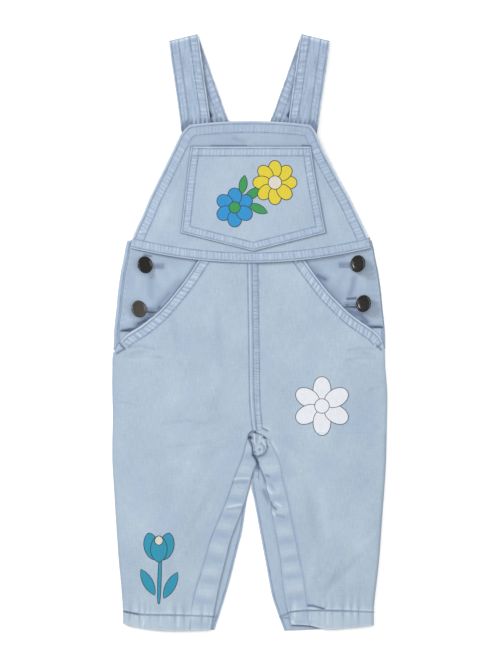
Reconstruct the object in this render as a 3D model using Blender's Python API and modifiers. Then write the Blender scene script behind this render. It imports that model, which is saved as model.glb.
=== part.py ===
"""Baby dungarees in light denim, laid flat on a table with the front up.

Run it with: blender --background --python part.py

Metres, +Z up. The garment is drawn in a tailor's frame: x is measured from the centre line,
"height" runs from the lowest point of the hems up to the shoulder folds, and z is measured up
from the table. "Right" and "left" are the wearer's, so the right side lies at -x. "Out" is the
distance from the centre line towards a side, so it is positive on both sides. An empty moves
the finished garment so that the middle of its outline is at the origin.
"""

from collections import namedtuple
from math import cos, pi, radians, sin, sqrt

import bmesh
import bpy
from mathutils import Vector

# --------------------------------------------------------------------------------------------
# Driving sizes
# --------------------------------------------------------------------------------------------
LENGTH = 0.5646  # shoulder fold to hem
SETTLING_ROUNDS = 5  # passes that settle a place and a height that depend on each other
WALL = 0.0012  # one layer of denim
STRAP_WALL = 0.0020  # a strap is cloth folded double
GAP = 0.0003  # between pieces at a seam
LAY_GAP = 0.0004  # between pieces that lie on each other

RIGHT, LEFT = -1, 1
SIDE_NAMES = {RIGHT: "right", LEFT: "left"}

WAIST_HEIGHT = 0.3480  # the bib's lower edge at the centre
WAIST_HALF = 0.1125
WAIST_RISE = 0.0140  # the waist seam is this much higher at the sides
WAIST_LAP = 0.0095  # how far the legs and facings run up under the bib
WAIST_BEND_FROM = 0.2700  # below this height the rows of the legs are level

BACK_TOP = WALL
FACING_TOP = BACK_TOP + LAY_GAP + WALL
FACING_BOTTOM_HEIGHT = {RIGHT: 0.2812, LEFT: 0.2840}
FACING_UNDER_LEG = 0.0110  # how far a facing runs in under the pocket edge
FACING_INSET = {RIGHT: 0.0050, LEFT: 0.0012}  # the back shows this far past the facing

SIDE_SEAM_Z = BACK_TOP + 0.0008  # where a rolled front edge ends above the back
ROLL_REACH = 0.0036  # how wide the rolled side edge is
ROLL_ANGLES = (90, 62, 34, 0)
PLACKET_FREE_TOP = 0.0031
PUCKER_PITCH = 0.0175  # hidden poppers draw the plackets into even puckers
PUCKER_LIFT = 0.0004

BACK_TOP_HEIGHT = 0.3690  # top edge of the legs' backs
BACK_BIB_HEIGHT = 0.4380  # top edge of the back bib
STAND_WIDTH = 0.0340

HEM_FADE = 0.1000  # above this height the rows of the legs no longer follow the hem
HEM_WAVES = 3
HEM_WAVE_LIFT = 0.0003
HEM_WAVE_FADE = 0.0500

STRAP_WIDTH = 0.0280
STRAP_FOLD_OUT = 0.0620  # the middle of the shoulder fold
STRAP_FOLD_HEIGHT = 0.5589
STRAP_FOLD_STEPS = 8
STRAP_FRONT_LEAN = 8  # degrees from the upright
STRAP_BACK_LEAN = 19.5
STRAP_SKEW_REACH = 0.0240  # the slant of the fold dies out over this length
STRAP_FRONT_LIFT = STRAP_WALL + LAY_GAP  # the front stretch lies on the back stretch
STRAP_BACK_LIFT = BACK_TOP + LAY_GAP  # the strap's end lies on the back bib

BUTTON_TILT = 35  # the heads lean towards the centre line
BUTTON_SIDES = 16
BUTTON_CLEARANCE = 0.00035  # from a head's lowest edge to the facing
EYELET_RADIUS = 0.0032
EYELET_SIDES = 16
SLIT_LENGTH = 0.0170
SLIT_WIDTH = 0.0010
CUT_DEPTH = 0.0040

# --------------------------------------------------------------------------------------------
# Tables: one row for each section, edge point or fold
# --------------------------------------------------------------------------------------------
Edge = namedtuple("Edge", "height out")
Level = namedtuple("Level", "height inner_top middle_top outer_top roll")
BibSection = namedtuple("BibSection", "height shift half_width side_rise middle_top edge_top")
PocketSection = namedtuple("PocketSection", "height shift half_width point_drop")
StrapStation = namedtuple("StrapStation", "from_fold lift outer_droop")
TabSection = namedtuple("TabSection", "height low_x high_x")
Fold = namedtuple("Fold", "x height reach width lean lift")
HemEdge = namedtuple("HemEdge", "out front back")
ButtonPlace = namedtuple("ButtonPlace", "name side out height lean_up")
TurnedPoint = namedtuple("TurnedPoint", "radius z")

# Side seams, which the front and the back of a leg share
SIDE_SEAM = {
    RIGHT: [
        Edge(0.2600, 0.1291),
        Edge(0.2490, 0.1296),
        Edge(0.2263, 0.1297),
        Edge(0.2036, 0.1291),
        Edge(0.1810, 0.1296),
        Edge(0.1583, 0.1295),
        Edge(0.1356, 0.1281),
        Edge(0.1129, 0.1267),
        Edge(0.0902, 0.1252),
        Edge(0.0676, 0.1236),
        Edge(0.0449, 0.1214),
        Edge(0.0222, 0.1197),
        Edge(0.0000, 0.1192),
    ],
    LEFT: [
        Edge(0.2600, 0.1281),
        Edge(0.2490, 0.1284),
        Edge(0.2377, 0.1294),
        Edge(0.2206, 0.1303),
        Edge(0.1923, 0.1298),
        Edge(0.1583, 0.1290),
        Edge(0.1356, 0.1277),
        Edge(0.1129, 0.1259),
        Edge(0.0902, 0.1243),
        Edge(0.0676, 0.1227),
        Edge(0.0449, 0.1202),
        Edge(0.0222, 0.1177),
        Edge(0.0000, 0.1176),
    ],
}

# Outer edge of each front leg: the slanted pocket opening, then the side seam
FRONT_OUTER = {
    RIGHT: [
        Edge(0.3650, 0.0385),
        Edge(0.3464, 0.0505),
        Edge(0.3330, 0.0594),
        Edge(0.3220, 0.0678),
        Edge(0.3111, 0.0767),
        Edge(0.3019, 0.0851),
        Edge(0.2934, 0.0947),
        Edge(0.2864, 0.1039),
        Edge(0.2800, 0.1144),
        Edge(0.2740, 0.1212),
        Edge(0.2680, 0.1257),
    ]
    + SIDE_SEAM[RIGHT],
    LEFT: [
        Edge(0.3650, 0.0412),
        Edge(0.3467, 0.0541),
        Edge(0.3319, 0.0650),
        Edge(0.3199, 0.0745),
        Edge(0.3093, 0.0848),
        Edge(0.2995, 0.0950),
        Edge(0.2910, 0.1063),
        Edge(0.2832, 0.1176),
        Edge(0.2765, 0.1240),
        Edge(0.2690, 0.1270),
    ]
    + SIDE_SEAM[LEFT],
}

# Inner edge of each front leg: the centre front seam, then the stitch line of the placket
FRONT_INNER = {
    RIGHT: [
        Edge(0.3600, -0.0004),
        Edge(0.2700, -0.0018),
        Edge(0.2183, -0.0026),
        Edge(0.1980, -0.0042),
        Edge(0.1890, -0.0052),
        Edge(0.1862, -0.0030),
        Edge(0.1827, 0.0012),
        Edge(0.1770, 0.0030),
        Edge(0.1634, 0.0068),
        Edge(0.1530, 0.0109),
        Edge(0.1452, 0.0140),
        Edge(0.1316, 0.0184),
        Edge(0.1179, 0.0235),
        Edge(0.1022, 0.0300),
        Edge(0.0846, 0.0371),
        Edge(0.0729, 0.0402),
        Edge(0.0560, 0.0451),
        Edge(0.0421, 0.0498),
        Edge(0.0250, 0.0537),
        Edge(0.0000, 0.0562),
    ],
    LEFT: [
        Edge(0.3600, 0.0007),
        Edge(0.2700, 0.0021),
        Edge(0.2183, 0.0029),
        Edge(0.1980, 0.0045),
        Edge(0.1890, 0.0058),
        Edge(0.1862, 0.0102),
        Edge(0.1829, 0.0152),
        Edge(0.1793, 0.0188),
        Edge(0.1642, 0.0262),
        Edge(0.1546, 0.0296),
        Edge(0.1425, 0.0312),
        Edge(0.1234, 0.0362),
        Edge(0.1060, 0.0394),
        Edge(0.0887, 0.0431),
        Edge(0.0675, 0.0470),
        Edge(0.0501, 0.0506),
        Edge(0.0000, 0.0572),
    ],
}

# Free edge of each inseam placket, which lies on the back leg
PLACKET_TOP_HEIGHT = 0.1815
PLACKET_FREE = {
    RIGHT: [
        Edge(0.1815, -0.0070),
        Edge(0.1667, -0.0075),
        Edge(0.1590, -0.0078),
        Edge(0.1553, -0.0050),
        Edge(0.1457, -0.0018),
        Edge(0.1339, 0.0011),
        Edge(0.1243, 0.0038),
        Edge(0.1129, 0.0078),
        Edge(0.0990, 0.0132),
        Edge(0.0846, 0.0184),
        Edge(0.0653, 0.0232),
        Edge(0.0523, 0.0266),
        Edge(0.0360, 0.0302),
        Edge(0.0000, 0.0370),
    ],
    LEFT: [
        Edge(0.1815, 0.0076),
        Edge(0.1667, 0.0081),
        Edge(0.1590, 0.0084),
        Edge(0.1503, 0.0122),
        Edge(0.1425, 0.0152),
        Edge(0.1335, 0.0166),
        Edge(0.1244, 0.0194),
        Edge(0.1090, 0.0218),
        Edge(0.0887, 0.0257),
        Edge(0.0713, 0.0289),
        Edge(0.0559, 0.0306),
        Edge(0.0366, 0.0328),
        Edge(0.0000, 0.0405),
    ],
}

# Top of the front layer at its inner edge, middle and side, and how far its side is rolled
FRONT_LEVELS = [
    Level(0.3800, 0.0046, 0.0046, 0.0046, 0.0),
    Level(0.3440, 0.0046, 0.0046, 0.0046, 0.0),
    Level(0.3100, 0.0046, 0.0049, 0.0046, 0.0),
    Level(0.2760, 0.0045, 0.0052, 0.0046, 0.0),
    Level(0.2600, 0.0044, 0.0053, 0.0047, 1.0),
    Level(0.2250, 0.0042, 0.0054, 0.0048, 1.0),
    Level(0.1840, 0.0040, 0.0052, 0.0048, 1.0),
    Level(0.1300, 0.0038, 0.0049, 0.0046, 1.0),
    Level(0.0800, 0.0035, 0.0047, 0.0045, 1.0),
    Level(0.0400, 0.0034, 0.0043, 0.0044, 1.0),
    Level(0.0000, 0.0033, 0.0036, 0.0040, 1.0),
]

# Side of the back: the button stand at the hip, then the side seam
HIP_SIDE = [
    Edge(0.3700, 0.1150),
    Edge(0.3624, 0.1172),
    Edge(0.3511, 0.1192),
    Edge(0.3397, 0.1216),
    Edge(0.3284, 0.1233),
    Edge(0.3171, 0.1247),
    Edge(0.3057, 0.1257),
    Edge(0.2944, 0.1270),
    Edge(0.2830, 0.1281),
    Edge(0.2717, 0.1284),
]
BACK_OUTER = {side: HIP_SIDE + SIDE_SEAM[side] for side in SIDE_NAMES}

# Inner edge of each back leg: the centre back seam, then the edge that shows in the crotch
BACK_INNER = {
    RIGHT: [
        Edge(0.3700, -0.0015),
        Edge(0.1400, -0.0015),
        Edge(0.1314, 0.0005),
        Edge(0.1238, 0.0024),
        Edge(0.0936, 0.0071),
        Edge(0.0784, 0.0109),
        Edge(0.0482, 0.0184),
        Edge(0.0255, 0.0250),
        Edge(0.0000, 0.0332),
    ],
    LEFT: [
        Edge(0.3700, 0.0018),
        Edge(0.1400, 0.0018),
        Edge(0.1314, 0.0026),
        Edge(0.1238, 0.0043),
        Edge(0.0936, 0.0099),
        Edge(0.0633, 0.0156),
        Edge(0.0331, 0.0213),
        Edge(0.0180, 0.0262),
        Edge(0.0000, 0.0328),
    ],
}

# Seam between a back leg and its button stand, as a distance in from the side
STAND_SEAM = [
    Edge(0.3700, STAND_WIDTH),
    Edge(0.2800, STAND_WIDTH),
    Edge(0.2720, 0.0300),
    Edge(0.2680, 0.0160),
    Edge(0.2650, 0.0000),
]
STAND_BOTTOM_HEIGHT = 0.2660

# Half of the back bib
BACK_BIB = [
    Edge(0.3693, 0.1120),
    Edge(0.3800, 0.0960),
    Edge(0.3950, 0.0740),
    Edge(0.4100, 0.0560),
    Edge(0.4250, 0.0430),
    Edge(0.4380, 0.0360),
]

# The bib from its lower edge to its top edge, whose corners are rounded
BIB = [
    BibSection(0.3480, 0.0010, 0.1136, 0.0140, 0.0062, 0.0046),
    BibSection(0.3575, 0.0010, 0.1116, 0.0130, 0.0062, 0.0044),
    BibSection(0.3700, 0.0009, 0.1073, 0.0110, 0.0060, 0.0036),
    BibSection(0.3850, 0.0007, 0.1014, 0.0085, 0.0056, 0.0028),
    BibSection(0.4050, 0.0001, 0.0940, 0.0050, 0.0056, 0.0028),
    BibSection(0.4300, -0.0006, 0.0827, 0.0010, 0.0060, 0.0042),
    BibSection(0.4480, -0.0010, 0.0745, -0.0010, 0.0064, 0.0060),
    BibSection(0.4600, -0.0011, 0.0691, -0.0020, 0.0064, 0.0062),
    BibSection(0.4740, -0.0006, 0.0638, -0.0045, 0.0062, 0.0062),
    BibSection(0.4785, 0.0000, 0.0608, -0.0045, 0.0062, 0.0062),
    BibSection(0.4816, 0.0003, 0.0567, -0.0036, 0.0062, 0.0062),
]
BIB_FALL_POWER = 4  # how late across the bib its side falls

# The chest pocket, whose lower edge comes to a point; its middle lies off the centre line
BIB_POCKET = [
    PocketSection(0.4573, 0.0014, 0.0563, 0.0000),
    PocketSection(0.4300, 0.0016, 0.0601, 0.0020),
    PocketSection(0.3764, 0.0036, 0.0680, 0.0173),
]

# A strap's stretches, from the fold down; the droop is of the edge away from the neck
STRAP_FRONT = [
    StrapStation(0.0030, STRAP_FRONT_LIFT, 0.0000),
    StrapStation(0.0200, STRAP_FRONT_LIFT, 0.0002),
    StrapStation(0.0450, STRAP_FRONT_LIFT, 0.0009),
    StrapStation(0.0650, STRAP_FRONT_LIFT, 0.0008),
    StrapStation(0.0780, STRAP_FRONT_LIFT, 0.0003),
    StrapStation(0.1000, STRAP_FRONT_LIFT, 0.0000),
]
STRAP_BACK = [
    StrapStation(0.0030, 0.0, 0.0),
    StrapStation(0.0400, 0.0, 0.0),
    StrapStation(0.1140, 0.0, 0.0),
    StrapStation(0.1220, STRAP_BACK_LIFT, 0.0),
    StrapStation(0.1400, STRAP_BACK_LIFT, 0.0),
]

# The crotch tab, over the tops of the plackets
CROTCH_TAB = [
    TabSection(0.1655, 0.0066, 0.0094),
    TabSection(0.1673, 0.0040, 0.0130),
    TabSection(0.1727, 0.0032, 0.0163),
    TabSection(0.1780, 0.0020, 0.0160),
    TabSection(0.1829, -0.0001, 0.0150),
    TabSection(0.1855, 0.0012, 0.0112),
    TabSection(0.1876, 0.0030, 0.0060),
]
CROTCH_TAB_TOP = 0.0059

# Lower edges of front and back
HEMS = {
    RIGHT: [
        HemEdge(0.0317, 0.0006, 0.0010),
        HemEdge(0.0506, 0.0000, 0.0006),
        HemEdge(0.0817, 0.0000, 0.0010),
        HemEdge(0.1085, 0.0037, 0.0042),
        HemEdge(0.1200, 0.0068, 0.0072),
    ],
    LEFT: [
        HemEdge(0.0320, 0.0058, 0.0000),
        HemEdge(0.0560, 0.0050, 0.0010),
        HemEdge(0.0727, 0.0014, 0.0018),
        HemEdge(0.1000, 0.0030, 0.0034),
        HemEdge(0.1200, 0.0055, 0.0058),
    ],
}

# Soft folds: reach is half the length, width half the width, and lean is clockwise degrees
FOLDS = [
    Fold(-0.072, 0.215, 0.105, 0.050, 0, 0.0007),
    Fold(0.074, 0.218, 0.105, 0.050, 0, 0.0007),
    Fold(-0.082, 0.100, 0.085, 0.034, -4, 0.0009),
    Fold(0.078, 0.105, 0.085, 0.030, 8, 0.0010),
    Fold(0.052, 0.120, 0.080, 0.013, -20, 0.0010),
    Fold(-0.056, 0.140, 0.070, 0.014, 22, 0.0009),
    Fold(-0.030, 0.265, 0.060, 0.013, -3, 0.0006),
    Fold(0.034, 0.262, 0.060, 0.013, 4, 0.0006),
    Fold(-0.096, 0.252, 0.030, 0.011, 72, 0.0007),
    Fold(0.098, 0.248, 0.032, 0.011, -70, 0.0007),
    Fold(0.000, 0.468, 0.040, 0.012, 90, 0.0004),
    Fold(-0.080, 0.395, 0.030, 0.013, 28, 0.0004),
    Fold(0.080, 0.395, 0.030, 0.013, -28, 0.0004),
]

BUTTONS = [
    ButtonPlace("upper", RIGHT, 0.0983, 0.3459, 15),
    ButtonPlace("lower", RIGHT, 0.1040, 0.3042, 15),
    ButtonPlace("upper", LEFT, 0.1021, 0.3469, 15),
    ButtonPlace("lower", LEFT, 0.1074, 0.3093, 15),
]

# A button: dished face, raised rim, and a neck that stands on the button stand
BUTTON_PROFILE = [
    TurnedPoint(0.0000, 0.0021),
    TurnedPoint(0.0059, 0.0022),
    TurnedPoint(0.0066, 0.0028),
    TurnedPoint(0.0076, 0.0028),
    TurnedPoint(0.0082, 0.0020),
    TurnedPoint(0.0077, 0.0010),
    TurnedPoint(0.0058, 0.0005),
    TurnedPoint(0.0024, 0.0000),
    TurnedPoint(0.0019, -0.0008),
    TurnedPoint(0.0019, -0.0050),
    TurnedPoint(0.0000, -0.0050),
]

DENIM = ("denim", (0.44, 0.54, 0.65), 0.9, 0.0)
BUTTON_METAL = ("button_metal", (0.020, 0.018, 0.017), 0.25, 0.6)


# --------------------------------------------------------------------------------------------
# Reading the tables
# --------------------------------------------------------------------------------------------
def rows_around(table, at, key):
    """The table's rows in order of key, the row before this place, and the share past it."""
    rows = sorted(table, key=lambda row: getattr(row, key))
    keys = [getattr(row, key) for row in rows]
    at = min(max(at, keys[0]), keys[-1])
    before = next(n for n in range(len(rows) - 1) if at <= keys[n + 1])
    return rows, before, (at - keys[before]) / (keys[before + 1] - keys[before])


def straight(table, at, key="height"):
    """The table's row at this height, or other key, on straight lines between its rows."""
    rows, i, share = rows_around(table, at, key)
    return type(rows[0])(*(a + (b - a) * share for a, b in zip(rows[i], rows[i + 1])))


def smooth(table, at, key="height"):
    """The table's row at this height, or other key, on a smooth curve through its rows."""
    rows, i, share = rows_around(table, at, key)
    key_column = rows[0]._fields.index(key)
    span = rows[i + 1][key_column] - rows[i][key_column]

    def slope(n, column):
        low, high = rows[max(n - 1, 0)], rows[min(n + 1, len(rows) - 1)]
        return (high[column] - low[column]) / (high[key_column] - low[key_column])

    def between(column):
        start, end = rows[i][column], rows[i + 1][column]
        leave, arrive = slope(i, column) * span, slope(i + 1, column) * span
        rest = 1 - share
        return (
            start * (1 + 2 * share) * rest**2
            + leave * share * rest**2
            + end * share**2 * (3 - 2 * share)
            - arrive * share**2 * rest
        )

    return type(rows[0])(*(between(column) for column in range(len(rows[0]))))


def steps(start, end, count):
    """count + 1 evenly spaced values, both ends included."""
    return [start + (end - start) * n / count for n in range(count + 1)]


# Rows of the front legs: the hem, the placket, the thigh, and the pocket opening
FRONT_ROWS = (
    [0.0, 0.0130]
    + steps(0.0220, PLACKET_TOP_HEIGHT, 18)
    + steps(0.1890, 0.2695, 10)
    + steps(0.2752, WAIST_HEIGHT + WAIST_LAP, 9)
)
# Rows of the button stands: the slanted lower end, then the straight strip
STAND_ROWS = [STAND_BOTTOM_HEIGHT, 0.2680, 0.2720, 0.2800] + steps(0.2950, BACK_TOP_HEIGHT, 4)


# --------------------------------------------------------------------------------------------
# Where the cloth is over the table
# --------------------------------------------------------------------------------------------
def leg_seam(side, height):
    """The inner edge of a front leg, straight between the rows that it shares with its placket."""
    seam = [Edge(row, smooth(FRONT_INNER[side], row).out) for row in FRONT_ROWS]
    return straight(seam, height).out


def height_at(row, out, hem):
    """Height of a row of a leg: level in the middle, bent to the waist seam and the hem."""
    bend = max(row - WAIST_BEND_FROM, 0) / (WAIST_HEIGHT + WAIST_LAP - WAIST_BEND_FROM)
    share_to_hem = max(1 - row / HEM_FADE, 0)
    return row + WAIST_RISE * bend * (out / WAIST_HALF) ** 2 + hem * share_to_hem


def leg_point(side, row, share, inner_of, outer_of, layer):
    """Out and height of a point of a leg: share runs from its inner to its outer edge."""
    height = row
    for _ in range(SETTLING_ROUNDS):
        inner, outer = inner_of(height), outer_of(height)
        out = inner + (outer - inner) * share
        hem = getattr(smooth(HEMS[side], out, "out"), layer)
        height = height_at(row, out, hem)
    return out, height


def folds(x, height):
    """How much the soft folds lift the cloth here."""
    lift = 0.0
    for fold in FOLDS:
        across, along = x - fold.x, height - fold.height
        lean = radians(fold.lean)
        along, across = (
            across * sin(lean) + along * cos(lean),
            across * cos(lean) - along * sin(lean),
        )
        away = (along / fold.reach) ** 2 + (across / fold.width) ** 2
        if away < 1:
            lift += fold.lift * (1 - away) ** 2
    return lift


def front_top(side, out, height):
    """Top of the front layer: the leg, its rolled side, and the placket inside its edge."""
    level = straight(FRONT_LEVELS, height)
    inner = leg_seam(side, height)
    outer = smooth(FRONT_OUTER[side], height).out
    share = min(max((out - inner) / (outer - inner), 0), 1)
    top = (
        level.inner_top * (1 - share) * (1 - 2 * share)
        + level.middle_top * 4 * share * (1 - share)
        + level.outer_top * share * (2 * share - 1)
    )
    top += folds(side * out, height)
    near_hem = max(1 - height / HEM_WAVE_FADE, 0)
    top += HEM_WAVE_LIFT * near_hem * sin(2 * pi * HEM_WAVES * share)
    if out < inner:
        free = smooth(PLACKET_FREE[side], height).out
        fall = min((inner - out) / (inner - free), 1)
        top += (PLACKET_FREE_TOP - top) * fall**2
    from_edge = outer - out
    if from_edge < ROLL_REACH:
        roundness = sqrt(1 - (1 - max(from_edge, 0) / ROLL_REACH) ** 2)
        top += (SIDE_SEAM_Z - top) * (1 - roundness) * level.roll
    return top


def bib_point(across, section):
    """A point of the bib's top face: across is -1 at one side and 1 at the other."""
    x = section.shift + across * section.half_width
    height = section.height + section.side_rise * across**2
    fall = abs(across) ** BIB_FALL_POWER
    top = section.middle_top + (section.edge_top - section.middle_top) * fall
    return Vector((x, height, top + folds(x, height)))


def bib_top(x, height):
    """Top of the bib over a point of the table."""
    row = height
    for _ in range(SETTLING_ROUNDS):
        section = smooth(BIB, row)
        across = (x - section.shift) / section.half_width
        row = height - section.side_rise * across**2
    return bib_point(across, section).z


# --------------------------------------------------------------------------------------------
# Making objects
# --------------------------------------------------------------------------------------------
def clear_scene():
    for obj in list(bpy.data.objects):
        bpy.data.objects.remove(obj)


def new_collection(name):
    collection = bpy.data.collections.new(name)
    bpy.context.scene.collection.children.link(collection)
    return collection


def new_material(name, colour, roughness, metallic):
    material = bpy.data.materials.new(name)
    material.use_nodes = True
    shader = material.node_tree.nodes["Principled BSDF"]
    shader.inputs["Base Color"].default_value = (*colour, 1)
    shader.inputs["Roughness"].default_value = roughness
    shader.inputs["Metallic"].default_value = metallic
    return material


class Workshop:
    """The collections, the frame that carries the garment, and its two materials."""

    def __init__(self):
        self.garment = new_collection("dungarees")
        self.cutters = new_collection("cutters")
        self.denim = new_material(*DENIM)
        self.button_metal = new_material(*BUTTON_METAL)
        self.frame = bpy.data.objects.new("garment_frame", None)
        self.frame.location.y = -LENGTH / 2
        self.garment.objects.link(self.frame)

    def add(self, name, mesh, material):
        """Adds one piece of the garment."""
        piece = bpy.data.objects.new(name, mesh)
        self.garment.objects.link(piece)
        piece.parent = self.frame
        if not mesh.materials:
            mesh.materials.append(material)
        return piece

    def add_cutter(self, name, mesh):
        cutter = bpy.data.objects.new(name, mesh)
        self.cutters.objects.link(cutter)
        cutter.parent = self.frame
        cutter.hide_render = True
        cutter.display_type = "WIRE"
        return cutter


def mesh_of(name, bm):
    mesh = bpy.data.meshes.new(name)
    bm.to_mesh(mesh)
    bm.free()
    return mesh


def add_cloth(shop, name, columns, rows, point_at, wall=WALL, turned=False):
    """A cut piece: a grid laid out by point_at(column, row), with its wall on the far side.

    turned is for a piece whose columns run towards -x, which would otherwise face down.
    """
    bm = bmesh.new()
    bmesh.ops.create_grid(
        bm, x_segments=len(columns) - 1, y_segments=len(rows) - 1, size=0.5
    )
    for vertex in bm.verts:
        column = columns[round((vertex.co.x + 0.5) * (len(columns) - 1))]
        row = rows[round((vertex.co.y + 0.5) * (len(rows) - 1))]
        vertex.co = point_at(column, row)
    if turned:
        bmesh.ops.reverse_faces(bm, faces=bm.faces)
    mesh = mesh_of(name, bm)
    mesh.shade_smooth()
    piece = shop.add(name, mesh, shop.denim)
    thicken = piece.modifiers.new("wall", "SOLIDIFY")
    thicken.thickness = wall
    thicken.offset = -1
    thicken.use_even_offset = True
    return piece


# --------------------------------------------------------------------------------------------
# Legs
# --------------------------------------------------------------------------------------------
def add_front_leg(shop, side):
    """From under the bib to the hem, with the pocket opening cut away at the hip."""
    roll = [1 - cos(radians(angle)) for angle in ROLL_ANGLES]
    columns = [(share, 1.0) for share in steps(0, 1, 11)[:-1]] + [(1.0, r) for r in roll]
    def point_at(column, row):
        share, from_side = column

        def inner_of(height):
            return leg_seam(side, height) + GAP / 2

        def outer_of(height):
            return smooth(FRONT_OUTER[side], height).out - ROLL_REACH * from_side

        out, height = leg_point(side, row, share, inner_of, outer_of, "front")
        return Vector((side * out, height, front_top(side, out, height)))

    name = f"front_leg_{SIDE_NAMES[side]}"
    return add_cloth(shop, name, columns, FRONT_ROWS, point_at, turned=side == RIGHT)


def add_placket(shop, side):
    """The popper placket along a front inseam, drawn into even puckers."""
    shared = [row for row in FRONT_ROWS if row <= PLACKET_TOP_HEIGHT]
    between = [(low + high) / 2 for low, high in zip(shared, shared[1:])]
    rows = sorted(shared + between)

    def inner_of(height):
        return smooth(PLACKET_FREE[side], height).out

    def outer_of(height):
        return leg_seam(side, height) - GAP / 2

    def point_at(share, row):
        out, height = leg_point(side, row, share, inner_of, outer_of, "front")
        ripple = PUCKER_LIFT * cos(2 * pi * height / PUCKER_PITCH) * (1 - share)
        return Vector((side * out, height, front_top(side, out, height) + ripple))

    name = f"inseam_placket_{SIDE_NAMES[side]}"
    return add_cloth(shop, name, steps(0, 1, 3), rows, point_at, turned=side == RIGHT)


def add_back_leg(shop, side):
    """Flat on the table, up to the waist, with the button stand's seam at the hip."""
    rows = steps(0.0, 0.2600, 22) + [STAND_SEAM[-1].height] + STAND_ROWS[1:]

    def inner_of(height):
        return smooth(BACK_INNER[side], height).out + GAP / 2

    def outer_of(height):
        stand = straight(STAND_SEAM, height).out if height > STAND_SEAM[-1].height else 0
        return smooth(BACK_OUTER[side], height).out - stand

    def point_at(share, row):
        height = row
        for _ in range(SETTLING_ROUNDS):
            inner, outer = inner_of(height), outer_of(height)
            out = inner + (outer - inner) * share
            hem = smooth(HEMS[side], out, "out").back
            height = row + hem * max(1 - row / HEM_FADE, 0)
        return Vector((side * out, height, BACK_TOP))

    name = f"back_leg_{SIDE_NAMES[side]}"
    return add_cloth(shop, name, steps(0, 1, 3), rows, point_at, turned=side == RIGHT)


def add_button_stand(shop, side):
    """The strip on the side of the back that carries the buttons, under the facing."""

    def point_at(share, row):
        outer = smooth(BACK_OUTER[side], row).out
        inner = outer - straight(STAND_SEAM, row).out + GAP
        return Vector((side * (inner + (outer - inner) * share), row, BACK_TOP))

    name = f"hip_button_stand_{SIDE_NAMES[side]}"
    return add_cloth(shop, name, steps(0, 1, 2), STAND_ROWS, point_at, turned=side == RIGHT)


# --------------------------------------------------------------------------------------------
# Hips
# --------------------------------------------------------------------------------------------
def button_axis(place):
    """The way a button's face looks: up, and leaning towards the centre line."""
    tilt, up = radians(BUTTON_TILT), radians(place.lean_up)
    return Vector((-place.side * sin(tilt) * cos(up), sin(tilt) * sin(up), cos(tilt)))


def button_origin(place):
    """Where the underside of a button's head meets its neck."""
    tilt = radians(BUTTON_TILT)
    lowest = min(p.z * cos(tilt) - p.radius * sin(tilt) for p in BUTTON_PROFILE[:-3])
    z = FACING_TOP + BUTTON_CLEARANCE - lowest
    face = button_axis(place) * BUTTON_PROFILE[0].z
    return Vector((place.side * place.out - face.x, place.height - face.y, z))


def eyelet_centre(place):
    """Where a button's neck passes the middle of the facing."""
    origin, axis = button_origin(place), button_axis(place)
    middle = FACING_TOP - WALL / 2
    return origin - axis * ((origin.z - middle) / axis.z)


def add_hip_facing(shop, side):
    """The side of the pocket opening, which buttons onto the stand of the back."""
    rows = steps(FACING_BOTTOM_HEIGHT[side], WAIST_HEIGHT + WAIST_LAP, 12)

    def inner_of(height):
        return smooth(FRONT_OUTER[side], height).out - FACING_UNDER_LEG

    def outer_of(height):
        return smooth(BACK_OUTER[side], height).out - FACING_INSET[side]

    def point_at(share, row):
        height = row
        for _ in range(SETTLING_ROUNDS):
            inner, outer = inner_of(height), outer_of(height)
            out = inner + (outer - inner) * share
            height = height_at(row, out, 0)
        return Vector((side * out, height, FACING_TOP))

    name = f"hip_facing_{SIDE_NAMES[side]}"
    facing = add_cloth(shop, name, steps(0, 1, 4), rows, point_at, turned=side == RIGHT)
    for place in BUTTONS:
        if place.side == side:
            cut_buttonhole(shop, facing, place)
    return facing


def cut_buttonhole(shop, facing, place):
    """An eyelet round the neck and a slit from it towards the centre line."""
    centre = eyelet_centre(place)
    slit_end = place.side * (place.out - SLIT_LENGTH)
    bm = bmesh.new()
    bmesh.ops.create_cone(
        bm,
        cap_ends=True,
        segments=EYELET_SIDES,
        radius1=EYELET_RADIUS,
        radius2=EYELET_RADIUS,
        depth=CUT_DEPTH,
    )
    slit = bmesh.ops.create_cube(bm, size=1)["verts"]
    reach = slit_end - centre.x
    bmesh.ops.scale(bm, verts=slit, vec=(abs(reach), SLIT_WIDTH, CUT_DEPTH * 0.9))
    bmesh.ops.translate(bm, verts=slit, vec=(reach / 2, 0, 0))
    name = f"buttonhole_{place.name}_{SIDE_NAMES[place.side]}"
    cutter = shop.add_cutter(name, mesh_of(name, bm))
    cutter.location = centre
    cut = facing.modifiers.new(name, "BOOLEAN")
    cut.operation = "DIFFERENCE"
    cut.object = cutter
    cut.solver = "EXACT"
    cut.use_self = True


def button_mesh():
    """Half of a button's outline, to be turned round its axis."""
    bm = bmesh.new()
    corners = [bm.verts.new((point.radius, 0, point.z)) for point in BUTTON_PROFILE]
    for start, end in zip(corners, corners[1:]):
        bm.edges.new((start, end))
    return mesh_of("button", bm)


def add_button(shop, mesh, place):
    name = f"button_{place.name}_{SIDE_NAMES[place.side]}"
    button = shop.add(name, mesh, shop.button_metal)
    button.location = button_origin(place)
    button.rotation_euler = button_axis(place).to_track_quat("Z", "Y").to_euler()
    turn = button.modifiers.new("turned", "SCREW")
    turn.steps = BUTTON_SIDES
    turn.render_steps = BUTTON_SIDES
    turn.use_merge_vertices = True
    turn.merge_threshold = 0.00001
    return button


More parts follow.
